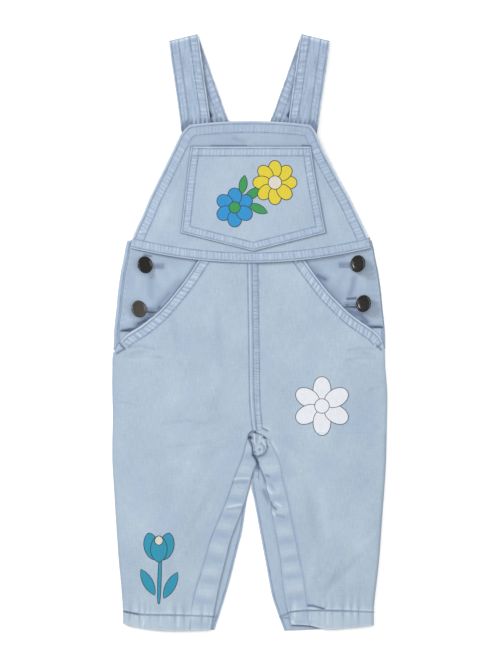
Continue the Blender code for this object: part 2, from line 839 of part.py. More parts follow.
# --------------------------------------------------------------------------------------------
# Bib, back bib and straps
# --------------------------------------------------------------------------------------------
def add_front_bib(shop):
    rows = steps(0.3480, 0.3575, 1) + steps(0.3700, 0.4600, 7) + [0.4680, 0.4740, 0.4785, 0.4816]

    def point_at(across, row):
        return bib_point(across, smooth(BIB, row))

    return add_cloth(shop, "front_bib", steps(-1, 1, 16), rows, point_at)


def add_bib_pocket(shop):
    """Lies on the bib; its rows bend down to the point in the middle."""

    def point_at(across, row):
        section = smooth(BIB_POCKET, row)
        x = section.shift + across * section.half_width
        height = section.height - section.point_drop * (1 - abs(across))
        return Vector((x, height, bib_top(x, height) + LAY_GAP + WALL))

    rows = steps(BIB_POCKET[-1].height, BIB_POCKET[0].height, 7)
    return add_cloth(shop, "bib_pocket", steps(-1, 1, 12), rows, point_at)


def add_back_bib(shop):
    def point_at(across, row):
        return Vector((across * smooth(BACK_BIB, row).out, row, BACK_TOP))

    rows = steps(BACK_TOP_HEIGHT + GAP, BACK_BIB_HEIGHT, 6)
    return add_cloth(shop, "back_bib", steps(-1, 1, 6), rows, point_at)


def strap_sections():
    """Sections of a strap's outer face: out, height, slant, z, and droop of its outer edge."""
    fold_slant = (STRAP_FRONT_LEAN + STRAP_BACK_LEAN) / 2
    radius = (STRAP_FRONT_LIFT + STRAP_WALL) / 2

    def stretch(stations, lean, face):
        for from_fold in steps(stations[0].from_fold, stations[-1].from_fold, 12):
            station = smooth(stations, from_fold, "from_fold")
            settled = min(from_fold / STRAP_SKEW_REACH, 1)
            yield (
                STRAP_FOLD_OUT - from_fold * sin(radians(lean)),
                STRAP_FOLD_HEIGHT - from_fold * cos(radians(lean)),
                fold_slant + (lean - fold_slant) * settled,
                station.lift + face,
                station.outer_droop,
            )

    back = list(stretch(STRAP_BACK, STRAP_BACK_LEAN, 0.0))[::-1]
    fold = [
        (
            STRAP_FOLD_OUT + radius * cos(angle) * sin(radians(fold_slant)),
            STRAP_FOLD_HEIGHT + radius * cos(angle) * cos(radians(fold_slant)),
            fold_slant,
            radius + radius * sin(angle),
            0.0,
        )
        for angle in steps(-pi / 2, pi / 2, STRAP_FOLD_STEPS)
    ]
    front = list(stretch(STRAP_FRONT, STRAP_FRONT_LEAN, STRAP_WALL))
    return back + fold + front


def add_strap(shop, side):
    """One strip: up from the back bib, over the shoulder fold, and down under the bib."""
    sections = strap_sections()

    def point_at(across, section):
        out, height, slant, z, droop = section
        reach = across * STRAP_WIDTH / 2
        return Vector(
            (
                side * (out + reach * cos(radians(slant))),
                height - reach * sin(radians(slant)),
                z - droop * max(across, 0),
            )
        )

    name = f"strap_{SIDE_NAMES[side]}"
    return add_cloth(
        shop, name, steps(-1, 1, 4), sections, point_at, STRAP_WALL, turned=side == LEFT
    )


def add_crotch_tab(shop):
    rows = steps(CROTCH_TAB[0].height, CROTCH_TAB[-1].height, 10)

    def point_at(share, row):
        section = smooth(CROTCH_TAB, row)
        x = section.low_x + (section.high_x - section.low_x) * share
        return Vector((x, row, CROTCH_TAB_TOP))

    return add_cloth(shop, "crotch_tab", steps(0, 1, 4), rows, point_at)


def main():
    clear_scene()
    shop = Workshop()
    add_back_bib(shop)
    for side in (RIGHT, LEFT):
        add_back_leg(shop, side)
        add_button_stand(shop, side)
        add_hip_facing(shop, side)
        add_placket(shop, side)
        add_front_leg(shop, side)
        add_strap(shop, side)
    add_crotch_tab(shop)
    add_front_bib(shop)
    add_bib_pocket(shop)
    button = button_mesh()
    for place in BUTTONS:
        add_button(shop, button, place)


main()
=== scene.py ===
# %% [markdown]
# # Baby dungarees, laid flat
#
# A pair of light denim dungarees lies on a white table with its front up. The solids of every
# cut piece are already made and measured: they are the frame, and nothing here moves them.
# This lesson dresses them: each cloth piece gets a thin shell on the same form, with creases,
# seam bands, thread and washed denim, the buttons get their gloss, and flowers are printed on.

from collections import namedtuple
from math import copysign, cos, pi, radians, sin

import bmesh
import bpy
import numpy as np
from mathutils import Matrix, Vector, noise
from mathutils.bvhtree import BVHTree


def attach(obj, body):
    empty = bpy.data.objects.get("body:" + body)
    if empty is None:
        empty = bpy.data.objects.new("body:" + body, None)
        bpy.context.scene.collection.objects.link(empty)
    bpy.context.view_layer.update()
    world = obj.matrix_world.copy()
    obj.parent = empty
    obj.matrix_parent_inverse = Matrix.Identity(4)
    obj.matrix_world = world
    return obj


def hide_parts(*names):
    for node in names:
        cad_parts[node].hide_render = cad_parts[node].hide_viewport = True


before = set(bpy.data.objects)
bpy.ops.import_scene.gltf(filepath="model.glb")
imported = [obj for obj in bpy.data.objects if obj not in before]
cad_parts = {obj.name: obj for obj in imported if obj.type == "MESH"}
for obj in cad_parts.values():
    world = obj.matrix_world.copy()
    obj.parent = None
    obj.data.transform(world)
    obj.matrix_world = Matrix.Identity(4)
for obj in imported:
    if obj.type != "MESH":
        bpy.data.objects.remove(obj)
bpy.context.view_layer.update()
LENGTH = 0.5646  # shoulder fold to hem
MIDDLE = LENGTH / 2  # the frame's origin is this far above the hems
RIGHT, LEFT = -1, 1  # the wearer's sides, and their direction along X
NAMES = {RIGHT: "right", LEFT: "left"}

# %% [markdown]
# ## The camera, the table and the light
#
# A garment laid flat is looked at from straight above, and from far away, so that its sides
# aren't seen. So the camera hangs three metres up with a long lens. The lens follows from the
# height of table that it takes in. Daylight from one window comes from the upper left;
# a broad soft box and a bright room fill the shadows, which keeps the table white.

# %% Camera
VIEW_HEIGHT = 0.6294  # of the table, from the bottom of the view to its top
CAMERA_UP = 3.0
CLOTH_LEVEL = 0.004
SENSOR = 0.036
view_middle = Vector((0.0005, -0.0008, 0))

camera_data = bpy.data.cameras.new("camera_above")
camera_data.sensor_width = SENSOR * 1000
camera_data.lens = SENSOR * 1000 * (CAMERA_UP - CLOTH_LEVEL) / VIEW_HEIGHT
camera_data.clip_end = 20
camera = bpy.data.objects.new("camera_above", camera_data)
camera.location = view_middle + Vector((0, 0, CAMERA_UP))
bpy.context.scene.collection.objects.link(camera)
bpy.context.scene.camera = camera
print("lens:", round(camera_data.lens, 1), "mm")

# %% Helpers for objects and materials
def finish_piece(name, bm, *materials):
    """A smooth-shaded object made from a bmesh."""
    mesh = bpy.data.meshes.new(name)
    bm.to_mesh(mesh)
    bm.free()
    mesh.shade_smooth()
    for material in materials:
        mesh.materials.append(material)
    piece = bpy.data.objects.new(name, mesh)
    bpy.context.scene.collection.objects.link(piece)
    return piece


def new_material(name, **inputs):
    """A material and its shader's inputs set by name, with _ for each space."""
    material = bpy.data.materials.new(name)
    material.use_nodes = True
    for key, value in inputs.items():
        material.node_tree.nodes["Principled BSDF"].inputs[key.replace("_", " ")].default_value = value
    return material


# %% Table and light
TABLE_SIDE = 6.0
TABLE_UNDER = 0.0003  # the table's top is just under the lowest cloth

bm = bmesh.new()
bmesh.ops.create_grid(bm, x_segments=1, y_segments=1, size=TABLE_SIDE / 2)
white = new_material("white_table", Base_Color=(0.96, 0.96, 0.96, 1), Roughness=0.7)
table = finish_piece("table", bm, white)
table.location.z = -TABLE_UNDER


def soft_box(name, place, size, power):
    """A square area light that looks at the garment."""
    data = bpy.data.lights.new(name, "AREA")
    data.size = size
    data.energy = power
    lamp = bpy.data.objects.new(name, data)
    lamp.location = place
    lamp.rotation_euler = (-Vector(place)).to_track_quat("-Z", "Y").to_euler()
    bpy.context.scene.collection.objects.link(lamp)
    return lamp


soft_box("window", (-1.6, 1.2, 1.60), 0.8, 38)
soft_box("ceiling_softbox", (0.3, 0.2, 2.6), 2.2, 48)
room = bpy.data.worlds.new("room")
room.use_nodes = True
room.node_tree.nodes["Background"].inputs["Color"].default_value = (1, 1, 1, 1)
room.node_tree.nodes["Background"].inputs["Strength"].default_value = 0.50
bpy.context.scene.world = room
bpy.context.scene.view_settings.view_transform = "Standard"

# %% [markdown]
# ## The cut of the garment
#
# The pieces are drawn in a tailor's frame: "height" runs up from the hems, and "out" from the
# centre line towards a side. Each table has one row for each section or edge point, as in the
# part's own source, and smooth curves run through the rows. Here a curve is read for thousands
# of points at once, because the shells are much finer than the solids that they cover.

# %% Reading a table
def metres(*rows):
    """Rows written in millimetres, in metres."""
    return [tuple(value / 1000 for value in row) for row in rows]


def smooth(table, at):
    """The columns of a table at these places of its first, on a smooth curve through its rows."""
    rows = np.array(sorted(table), float)
    keys = rows[:, 0]
    low = np.clip(np.arange(len(rows)) - 1, 0, None)
    high = np.clip(np.arange(len(rows)) + 1, None, len(rows) - 1)
    slopes = (rows[high] - rows[low]) / (keys[high] - keys[low])[:, None]
    at = np.clip(np.asarray(at, float), keys[0], keys[-1])
    i = np.clip(np.searchsorted(keys, at) - 1, 0, len(rows) - 2)
    span = (keys[i + 1] - keys[i])[..., None]
    t = (at - keys[i])[..., None] / span
    value = rows[i] * (1 + 2 * t) * (1 - t) ** 2 + rows[i + 1] * t * t * (3 - 2 * t)
    value += slopes[i] * span * t * (1 - t) ** 2 - slopes[i + 1] * span * t * t * (1 - t)
    return np.moveaxis(value, -1, 0)


def ease(low, high, at):
    """0 below low, 1 above high, and a soft step between."""
    t = np.clip((at - low) / (high - low), 0, 1)
    return t * t * (3 - 2 * t)


# %% Thicknesses and layers
WALL = 0.0012  # one layer of denim
STRAP_WALL = 0.0020
GAP = 0.0003  # between pieces at a seam
LAY_GAP = 0.0004  # between pieces that lie on each other
BACK_TOP = WALL
FACING_TOP = BACK_TOP + LAY_GAP + WALL
SIDE_SEAM_Z = BACK_TOP + 0.0008
ROLL_REACH = 0.0036  # width of the rolled side edge
SETTLING = 5  # passes that settle a place and a height that depend on each other

WAIST_HEIGHT = 0.3480
WAIST_HALF = 0.1125
WAIST_RISE = 0.0140
WAIST_LAP = 0.0095
WAIST_BEND_FROM = 0.2700

# %% Legs: the tables
# height and how far out, in mm
SIDE_SEAM = {
    RIGHT: metres(
        (260, 129.1), (249, 129.6), (226.3, 129.7), (203.6, 129.1), (181, 129.6), (158.3, 129.5),
        (135.6, 128.1), (112.9, 126.7), (90.2, 125.2), (67.6, 123.6), (44.9, 121.4), (22.2, 119.7),
        (0, 119.2),
    ),
    LEFT: metres(
        (260, 128.1), (249, 128.4), (237.7, 129.4), (220.6, 130.3), (192.3, 129.8), (158.3, 129),
        (135.6, 127.7), (112.9, 125.9), (90.2, 124.3), (67.6, 122.7), (44.9, 120.2), (22.2, 117.7),
        (0, 117.6),
    ),
}
POCKET_OPENING = {
    RIGHT: metres(
        (365, 38.5), (346.4, 50.5), (333, 59.4), (322, 67.8), (311.1, 76.7), (301.9, 85.1), (293.4, 94.7),
        (286.4, 103.9), (280, 114.4), (274, 121.2), (268, 125.7),
    ),
    LEFT: metres(
        (365, 41.2), (346.7, 54.1), (331.9, 65), (319.9, 74.5), (309.3, 84.8), (299.5, 95), (291, 106.3),
        (283.2, 117.6), (276.5, 124), (269, 127),
    ),
}
FRONT_OUTER = {side: POCKET_OPENING[side] + SIDE_SEAM[side] for side in NAMES}
HIP_SIDE = metres(
    (370, 115), (362.4, 117.2), (351.1, 119.2), (339.7, 121.6), (328.4, 123.3), (317.1, 124.7),
    (305.7, 125.7), (294.4, 127), (283, 128.1), (271.7, 128.4),
)
BACK_OUTER = {side: HIP_SIDE + SIDE_SEAM[side] for side in NAMES}

# %% Legs: the inner edges
FRONT_INNER = {
    RIGHT: metres(
        (360, -0.4), (270, -1.8), (218.3, -2.6), (198, -4.2), (189, -5.2), (186.2, -3), (182.7, 1.2),
        (177, 3), (163.4, 6.8), (153, 10.9), (145.2, 14), (131.6, 18.4), (117.9, 23.5), (102.2, 30),
        (84.6, 37.1), (72.9, 40.2), (56, 45.1), (42.1, 49.8), (25, 53.7), (0, 56.2),
    ),
    LEFT: metres(
        (360, 0.7), (270, 2.1), (218.3, 2.9), (198, 4.5), (189, 5.8), (186.2, 10.2), (182.9, 15.2),
        (179.3, 18.8), (164.2, 26.2), (154.6, 29.6), (142.5, 31.2), (123.4, 36.2), (106, 39.4),
        (88.7, 43.1), (67.5, 47), (50.1, 50.6), (0, 57.2),
    ),
}
PLACKET_TOP_HEIGHT = 0.1815
PLACKET_FREE_TOP = 0.0031
PLACKET_FREE = {
    RIGHT: metres(
        (181.5, -7), (166.7, -7.5), (159, -7.8), (155.3, -5), (145.7, -1.8), (133.9, 1.1), (124.3, 3.8),
        (112.9, 7.8), (99, 13.2), (84.6, 18.4), (65.3, 23.2), (52.3, 26.6), (36, 30.2), (0, 37),
    ),
    LEFT: metres(
        (181.5, 7.6), (166.7, 8.1), (159, 8.4), (150.3, 12.2), (142.5, 15.2), (133.5, 16.6),
        (124.4, 19.4), (109, 21.8), (88.7, 25.7), (71.3, 28.9), (55.9, 30.6), (36.6, 32.8), (0, 40.5),
    ),
}
BACK_INNER = {
    RIGHT: metres(
        (370, -1.5), (140, -1.5), (131.4, 0.5), (123.8, 2.4), (93.6, 7.1), (78.4, 10.9), (48.2, 18.4),
        (25.5, 25), (0, 33.2),
    ),
    LEFT: metres(
        (370, 1.8), (140, 1.8), (131.4, 2.6), (123.8, 4.3), (93.6, 9.9), (63.3, 15.6), (33.1, 21.3),
        (18, 26.2), (0, 32.8),
    ),
}

# %% Legs: hems and levels
# out, lower edge of the front, lower edge of the back, in mm
HEMS = {
    RIGHT: metres((31.7, 0.6, 1), (50.6, 0, 0.6), (81.7, 0, 1), (108.5, 3.7, 4.2), (120, 6.8, 7.2)),
    LEFT: metres((32, 5.8, 0), (56, 5, 1), (72.7, 1.4, 1.8), (100, 3, 3.4), (120, 5.5, 5.8)),
}
HEM_FADE = 0.1000  # above this height the rows of the legs no longer follow the hem
FRONT, BACK = 1, 2  # columns of the hem table
# height, top at the inner edge, at the middle and at the side, all in metres, share of the roll
FRONT_LEVELS = [
    (0.3800, 0.0046, 0.0046, 0.0046, 0), (0.3440, 0.0046, 0.0046, 0.0046, 0),
    (0.3100, 0.0046, 0.0049, 0.0046, 0), (0.2760, 0.0045, 0.0052, 0.0046, 0),
    (0.2600, 0.0044, 0.0053, 0.0047, 1), (0.2250, 0.0042, 0.0054, 0.0048, 1),
    (0.1840, 0.0040, 0.0052, 0.0048, 1), (0.1300, 0.0038, 0.0049, 0.0046, 1),
    (0.0800, 0.0035, 0.0047, 0.0045, 1), (0.0400, 0.0034, 0.0043, 0.0044, 1),
    (0.0000, 0.0033, 0.0036, 0.0040, 1),
]


def edge_reader(tables):
    """A function that reads how far out an edge is at a height, on either side."""
    return lambda side, height: smooth(tables[side], height)[1]


front_inner, front_outer = edge_reader(FRONT_INNER), edge_reader(FRONT_OUTER)
back_inner, back_outer = edge_reader(BACK_INNER), edge_reader(BACK_OUTER)
placket_free = edge_reader(PLACKET_FREE)

# %% The forms of the front
# x, height, half length, half width and lift in mm, and the clockwise lean in degrees
FOLDS = [
    (-72, 215, 105, 50, 0.7, 0), (74, 218, 105, 50, 0.7, 0), (-82, 100, 85, 34, 0.9, -4),
    (78, 105, 85, 30, 1, 8), (52, 120, 80, 13, 1, -20), (-56, 140, 70, 14, 0.9, 22),
    (-30, 265, 60, 13, 0.6, -3), (34, 262, 60, 13, 0.6, 4), (-96, 252, 30, 11, 0.7, 72),
    (98, 248, 32, 11, 0.7, -70), (0, 468, 40, 12, 0.4, 90), (-80, 395, 30, 13, 0.4, 28),
    (80, 395, 30, 13, 0.4, -28),
]


def folds(x, height, table):
    """How much the folds in a table lift the cloth; a negative lift is a trough."""
    total = np.zeros(np.shape(x))
    for *sizes, lean in table:
        fold_x, fold_height, reach, width, lift = (size / 1000 for size in sizes)
        dx, dy = x - fold_x, height - fold_height
        s, c = sin(radians(lean)), cos(radians(lean))
        away = ((dx * s + dy * c) / reach) ** 2 + ((dx * c - dy * s) / width) ** 2
        total += lift * np.clip(1 - away, 0, None) ** 2
    return total


def hem_edge(side, out, layer):
    return smooth(HEMS[side], out)[layer]


def steady_inner(side, height):
    """A leg's inner edge with its sudden step at the crotch evened out."""
    spread = np.linspace(-0.028, 0.028, 9)
    return sum(front_inner(side, height + step) for step in spread) / len(spread)


# %% The top of the front
def front_top(side, out, height):
    """Top of the front layer: the leg, its rolled side, and the placket inside its edge."""
    _, inner_top, middle_top, outer_top, roll = smooth(FRONT_LEVELS, height)
    outer, steady = front_outer(side, height), steady_inner(side, height)
    share = np.clip((out - steady) / (outer - steady), 0, 1)
    top = inner_top * (1 - share) * (1 - 2 * share)
    top += middle_top * 4 * share * (1 - share) + outer_top * share * (2 * share - 1)
    top += folds(side * out, height, FOLDS)
    inner = front_inner(side, height)
    fall = np.clip((inner - out) / (inner - placket_free(side, height)), 0, 1)
    top += (PLACKET_FREE_TOP - top) * fall**2
    from_edge = np.clip((outer - out) / ROLL_REACH, 0, 1)
    roundness = np.sqrt(1 - (1 - from_edge) ** 2)
    return top + (SIDE_SEAM_Z - top) * (1 - roundness) * roll


def height_at(row, out, hem):
    """Height of a leg's row: level in the middle, bent to the waist seam and to the hem."""
    bend = np.clip(row - WAIST_BEND_FROM, 0, None) / (WAIST_HEIGHT + WAIST_LAP - WAIST_BEND_FROM)
    return row + WAIST_RISE * bend * (out / WAIST_HALF) ** 2 + hem * np.clip(1 - row / HEM_FADE, 0, 1)


print("front middle stands", round(float(front_top(LEFT, 0.07, 0.2)) * 1000, 2), "mm high")

# %% [markdown]
# The bib is a trapezium whose top corners are cut off, and the patch pocket on it comes to a
# point. The pocket is laid on the bib's own form, one cloth higher, so the two can't cut
# through each other.

# %% The form of the bib and its pocket
# in mm: height in the middle, shift to the wearer's left, half width, rise at the side,
# top in the middle, top at the side
BIB = metres(
    (348, 1, 113.6, 14, 6.2, 4.6), (357.5, 1, 111.6, 13, 6.2, 4.4), (370, 0.9, 107.3, 11, 6, 3.6),
    (385, 0.7, 101.4, 8.5, 5.6, 2.8), (405, 0.1, 94, 5, 5.6, 2.8), (430, -0.6, 82.7, 1, 6, 4.2),
    (448, -1, 74.5, -1, 6.4, 6), (460, -1.1, 69.1, -2, 6.4, 6.2), (474, -0.6, 63.8, -4.5, 6.2, 6.2),
    (478.5, 0, 60.8, -4.5, 6.2, 6.2), (481.6, 0.3, 56.7, -3.6, 6.2, 6.2),
)
BIB_FALL_POWER = 4
BIB_TOP_ROW, BIB_LOW_ROW = BIB[-1][0], BIB[0][0]
# height at the sides, shift, half width, drop of the middle
BIB_POCKET = metres((457.3, 1.4, 56.3, 0), (430, 1.6, 60.1, 2), (376.4, 3.6, 68, 17.3))
POCKET_TOP_ROW, POCKET_LOW_ROW = BIB_POCKET[0][0], BIB_POCKET[-1][0]


def bib_point(across, row):
    """x, height and z of the bib's top face; across is -1 at one side and 1 at the other."""
    _, shift, half, rise, middle_top, edge_top = smooth(BIB, row)
    x, height = shift + across * half, row + rise * across**2
    top = middle_top + (edge_top - middle_top) * np.abs(across) ** BIB_FALL_POWER
    return x, height, top + folds(x, height, FOLDS)


def bib_top(x, height):
    """Top of the bib at an x and height, whose row has to be found first."""
    row = height.copy()
    for _ in range(SETTLING):
        _, shift, half, rise, _, _ = smooth(BIB, row)
        across = (x - shift) / half
        row = height - rise * across**2
    return bib_point(across, row)[2]


def pocket_point(across, row):
    """x, height and z of the pocket's top face."""
    _, shift, half, drop = smooth(BIB_POCKET, row)
    x = shift + across * half
    height = row - drop * (1 - np.abs(across))
    return x, height, bib_top(x, height) + LAY_GAP + WALL


# %% Edge lines that neighbours share
def edge_of(place, columns, rows):
    """A line through the points that place gives for columns and rows; one may be a number."""
    columns, rows = np.broadcast_arrays(np.asarray(columns, float), np.asarray(rows, float))
    return np.column_stack(place(columns, rows)[:2])


def upright_line(side, out_at, low, high, count=90):
    """The line where a leg's out is out_at(side, height)."""
    heights = np.linspace(low, high, count)
    return np.column_stack([side * out_at(side, heights), heights])


WAIST_BAND = 0.0098
OPENING_END_HEIGHT = 0.2742
opening_lines = {side: upright_line(side, front_outer, OPENING_END_HEIGHT, 0.3640) for side in NAMES}
bib_waist, bib_top_edge = (
    edge_of(bib_point, np.linspace(-1, 1, 60), row) for row in (BIB_LOW_ROW, BIB_TOP_ROW)
)
side_rows = np.linspace(BIB_LOW_ROW, BIB_TOP_ROW, 70)
above_waist = side_rows > BIB_LOW_ROW + WAIST_BAND - 0.0006
right, left = (edge_of(bib_point, side, side_rows)[above_waist] for side in NAMES)
bib_outline = np.concatenate([right, bib_top_edge[1:], left[-2::-1]])

pocket_rows = np.linspace(POCKET_LOW_ROW, POCKET_TOP_ROW, 50)
pocket_mouth = edge_of(pocket_point, np.linspace(-1, 1, 40), POCKET_TOP_ROW)
right, left = (edge_of(pocket_point, side, pocket_rows) for side in NAMES)
low = [edge_of(pocket_point, np.linspace(end, end + 1, 30), POCKET_LOW_ROW)[1:] for end in (-1, 0)]
pocket_outline = np.concatenate([right[::-1], *low, left[1:]])
print("points round the bib:", len(bib_outline), "and round the pocket:", len(pocket_outline))

# %% [markdown]
# ## Seams
#
# What makes denim read as denim is its seams. Where cloth is folded and stitched, rows of
# thread pull it into small pillows with narrow troughs between them; washing then rubs the high
# edges pale and leaves the hollows blue. So a seam here is a line on the cloth with a band
# beside it: the band is raised, each row of thread sits in a groove, and troughs run across.
# The same distances that shape it say how pale each point is, from wear and from painted highlight on the
# raised parts, how blue it is, how much painted shade lies in its grooves and troughs, and where the finest
# rungs of the ladder between two rows lie. These numbers are the point's look; the first moves it, and the
# denim material reads the others.

# %% Lines and bands
# A look's rows: lift, paleness from wear and painted highlight, blueness, darkness that is mostly painted
# shade, the rungs' strength and their phase.
LIFT, WEAR_AND_HIGHLIGHT, BLUE, DARK, RUNG, PHASE = range(6)  # the rows of a look
LAYERS = ("wear", "blue", "dark", "rung", "phase")  # what a mesh stores of them
# A band's last field is how pale its edge bead is, from wear and painted highlight.
Band = namedtuple("Band", "line width rise rows pitch pucker slant seed rubbed", defaults=(0.15,))
GROOVE_DEPTH = 0.00026
GROOVE_HALF = 0.00064
# Painted shade in the groove of each row of thread.
GROOVE_SHADE = 0.98
EDGE_BEAD = 0.00018
EDGE_BEAD_REACH = 0.0011
FULL_PUCKER = 0.00030  # a pucker of this depth has the pillows and troughs that follow
# Pucker pillows are painted pale, part wear and part painted highlight; the troughs between them get
# painted shade.
PILLOW_WEAR_AND_HIGHLIGHT = 0.26
TROUGH_SHADE = 0.26
RUNG_SHARE = 0.65  # of a pucker's pitch, from one rung to the next
TROUGH_HALF = 0.17  # of a pucker's pitch


def blank_look(points):
    return np.zeros((6, len(points)))


def at_least(look, row, value):
    """Raises a row of a look to a value where it is lower."""
    look[row] = np.maximum(look[row], value)


# %% Distances from a line
def along_line(points, line):
    """Distance from each point to a line, and how far along it the nearest place is."""
    start, end = line[:-1], line[1:]
    run = end - start
    length = np.hypot(run[:, 0], run[:, 1])
    before = np.concatenate([[0], np.cumsum(length)[:-1]])
    distance = np.full(len(points), 1.0)
    along = np.zeros(len(points))
    for first, step, size, passed in zip(start, run, length, before):
        share = np.clip(((points - first) @ step) / size**2, 0, 1)
        away = np.hypot(*(points - first - share[:, None] * step).T)
        nearer = away < distance
        distance[nearer] = away[nearer]
        along[nearer] = passed + share[nearer] * size
    return distance, along


def not_past(points, line, along, margin=0.0005):
    """1 beside a line and 0 past its ends."""
    inside = np.ones(len(points))
    ends = (line[0], line[1] - line[0], along), (line[-1], line[-2] - line[-1], along.max() - along)
    for end, way, from_end in ends:
        level = ease(-margin, margin, (points - end) @ (way / np.hypot(*way)))
        inside[from_end < 0.002] *= level[from_end < 0.002]
    return inside


# %% Puckers, and the wander that keeps them uneven
def wobble(seed, value, pitch):
    """A slow, seeded wander between -1 and 1 along a line."""
    value = np.asarray(value) / pitch
    return 0.6 * np.sin(value * 1.31 + seed) + 0.4 * np.sin(value * 2.77 + seed * 2.3)


def pucker_look(band, away, along):
    """Depth of the narrow, uneven troughs across a band, and height of the pillows between."""
    phase = along / band.pitch + band.slant * away / band.pitch
    phase = phase + 0.42 * wobble(band.seed, along, band.pitch * 1.7)
    turn = np.rint(phase)
    uneven = 0.5 + 0.5 * np.sin(turn * 12.99 + band.seed * 78.2)
    trough = np.exp(-(((phase - turn) / TROUGH_HALF) ** 2)) * (0.25 + 0.75 * uneven)
    across = np.sin(pi * np.clip(away / band.width, 0, 1)) ** 0.5
    between = np.sin(pi * (phase - turn)) ** 2
    patchy = np.clip(0.50 + 0.8 * wobble(band.seed * 3.1, along, band.pitch * 0.9), 0.1, 1)
    return trough * across, between**1.5 * across * patchy


# %% The look of a seam
def seam_look(points, bands):
    """The look that a piece's seam bands give to its points."""
    look = blank_look(points)
    nearest = np.ones(len(points))
    for turn, band in enumerate(bands):
        away, along = along_line(points, band.line)
        beyond = not_past(points, band.line, along)
        closer = away < nearest
        nearest[closer] = away[closer]
        phase = (along + band.slant * away) / (band.pitch * RUNG_SHARE) + 7 * turn
        look[PHASE][closer] = phase[closer]
        inside = (1 - ease(band.width - 0.0006, band.width + 0.0004, away)) * beyond
        edge = np.exp(-((away / EDGE_BEAD_REACH) ** 2))
        bump = band.rise * inside + EDGE_BEAD * edge * inside
        # The pale bead of a folded edge: wear, and painted highlight where it stands up.
        wear = edge * band.rubbed * (0.80 + 0.20 * wobble(band.seed * 7, along, 0.011))
        dark = np.zeros(len(points))
        if band.pucker:
            trough, pillow = pucker_look(band, away, along)
            strength = min(band.pucker / FULL_PUCKER, 1)
            bump += band.pucker * (0.55 * pillow - trough) * inside
            wear = np.maximum(wear, PILLOW_WEAR_AND_HIGHLIGHT * strength * pillow * inside)
            dark = TROUGH_SHADE * strength * trough * inside
            between_rows = ease(band.rows[0] - 0.0006, band.rows[0] + 0.0006, away) if band.rows else 1
            at_least(look, RUNG, (0.2 + 0.8 * strength) * inside * between_rows)
        for row in band.rows:
            groove = np.exp(-(((away - row) / GROOVE_HALF) ** 2)) * beyond
            bump -= GROOVE_DEPTH * groove
            uneven = 0.78 + 0.22 * wobble(band.seed * 5 + row * 900, along, 0.0052)
            dark = np.maximum(dark, GROOVE_SHADE * groove * uneven)
        bigger = np.abs(bump) > np.abs(look[LIFT])
        look[LIFT][bigger] = bump[bigger]
        at_least(look, WEAR_AND_HIGHLIGHT, wear)
        at_least(look, DARK, dark)
        # A band is bluer, and bluer still where painted shade lies.
        at_least(look, BLUE, inside * np.clip(0.36 + 0.6 * dark, 0, 0.7))
    look[WEAR_AND_HIGHLIGHT] *= 1 - look[DARK]
    return look


def beside(points, line, reach, amount):
    """Something that is greatest at a line and fades within reach of it."""
    away, _ = along_line(points, line)
    return amount * np.exp(-((away / reach) ** 2))


# %% Creases
FULL_LIFT = 0.0009  # a fold this high gets the most painted highlight on its ridge, and one this deep the most painted shade in its trough
FOLD_SHADE, FOLD_HIGHLIGHT = 0.26, 0.22  # of a fold with the full lift
Stroke = namedtuple("Stroke", "places reach lift wear dark")


def strokes_from(*rows):
    """Strokes from rows of reach, lift, paleness (wear and painted highlight), darkness (painted shade),
    and the x and height of each place, in mm.
    """
    return [
        Stroke(np.reshape(places, (-1, 2)) / 1000, reach / 1000, lift / 1000, wear, dark)
        for reach, lift, wear, dark, *places in rows
    ]


def crease_look(points, soft_folds=(), strokes=()):
    """The look of broad soft folds, and of sharp creases drawn as strokes through a few places, with
    painted shade in their troughs and painted highlight on their ridges.
    """
    look = blank_look(points)
    look[LIFT] = folds(points[:, 0], points[:, 1], soft_folds)
    look[DARK] = np.clip(-look[LIFT] / FULL_LIFT, 0, 1) * FOLD_SHADE
    look[WEAR_AND_HIGHLIGHT] = np.clip(look[LIFT] / FULL_LIFT, 0, 1) * FOLD_HIGHLIGHT
    for stroke in strokes:
        near = beside(points, np.array(stroke.places), stroke.reach, 1.0)
        look[LIFT] += stroke.lift * near
        look[WEAR_AND_HIGHLIGHT] = np.maximum(look[WEAR_AND_HIGHLIGHT] * (1 - near), stroke.wear * near)
        look[DARK] = np.maximum(look[DARK] * (1 - 0.5 * stroke.wear * near), stroke.dark * near)
    return look


def rumple(points, size, amount, seed):
    """The slight unevenness of washed cloth."""
    return amount * np.array([noise.noise(Vector((x / size, y / size, seed))) for x, y in points])


def together(*looks):
    """Several looks on one cloth: the lifts add up, and the strongest paleness and darkness win."""
    total = np.max(looks, axis=0)
    total[LIFT] = np.sum([look[LIFT] for look in looks], axis=0)
    return total
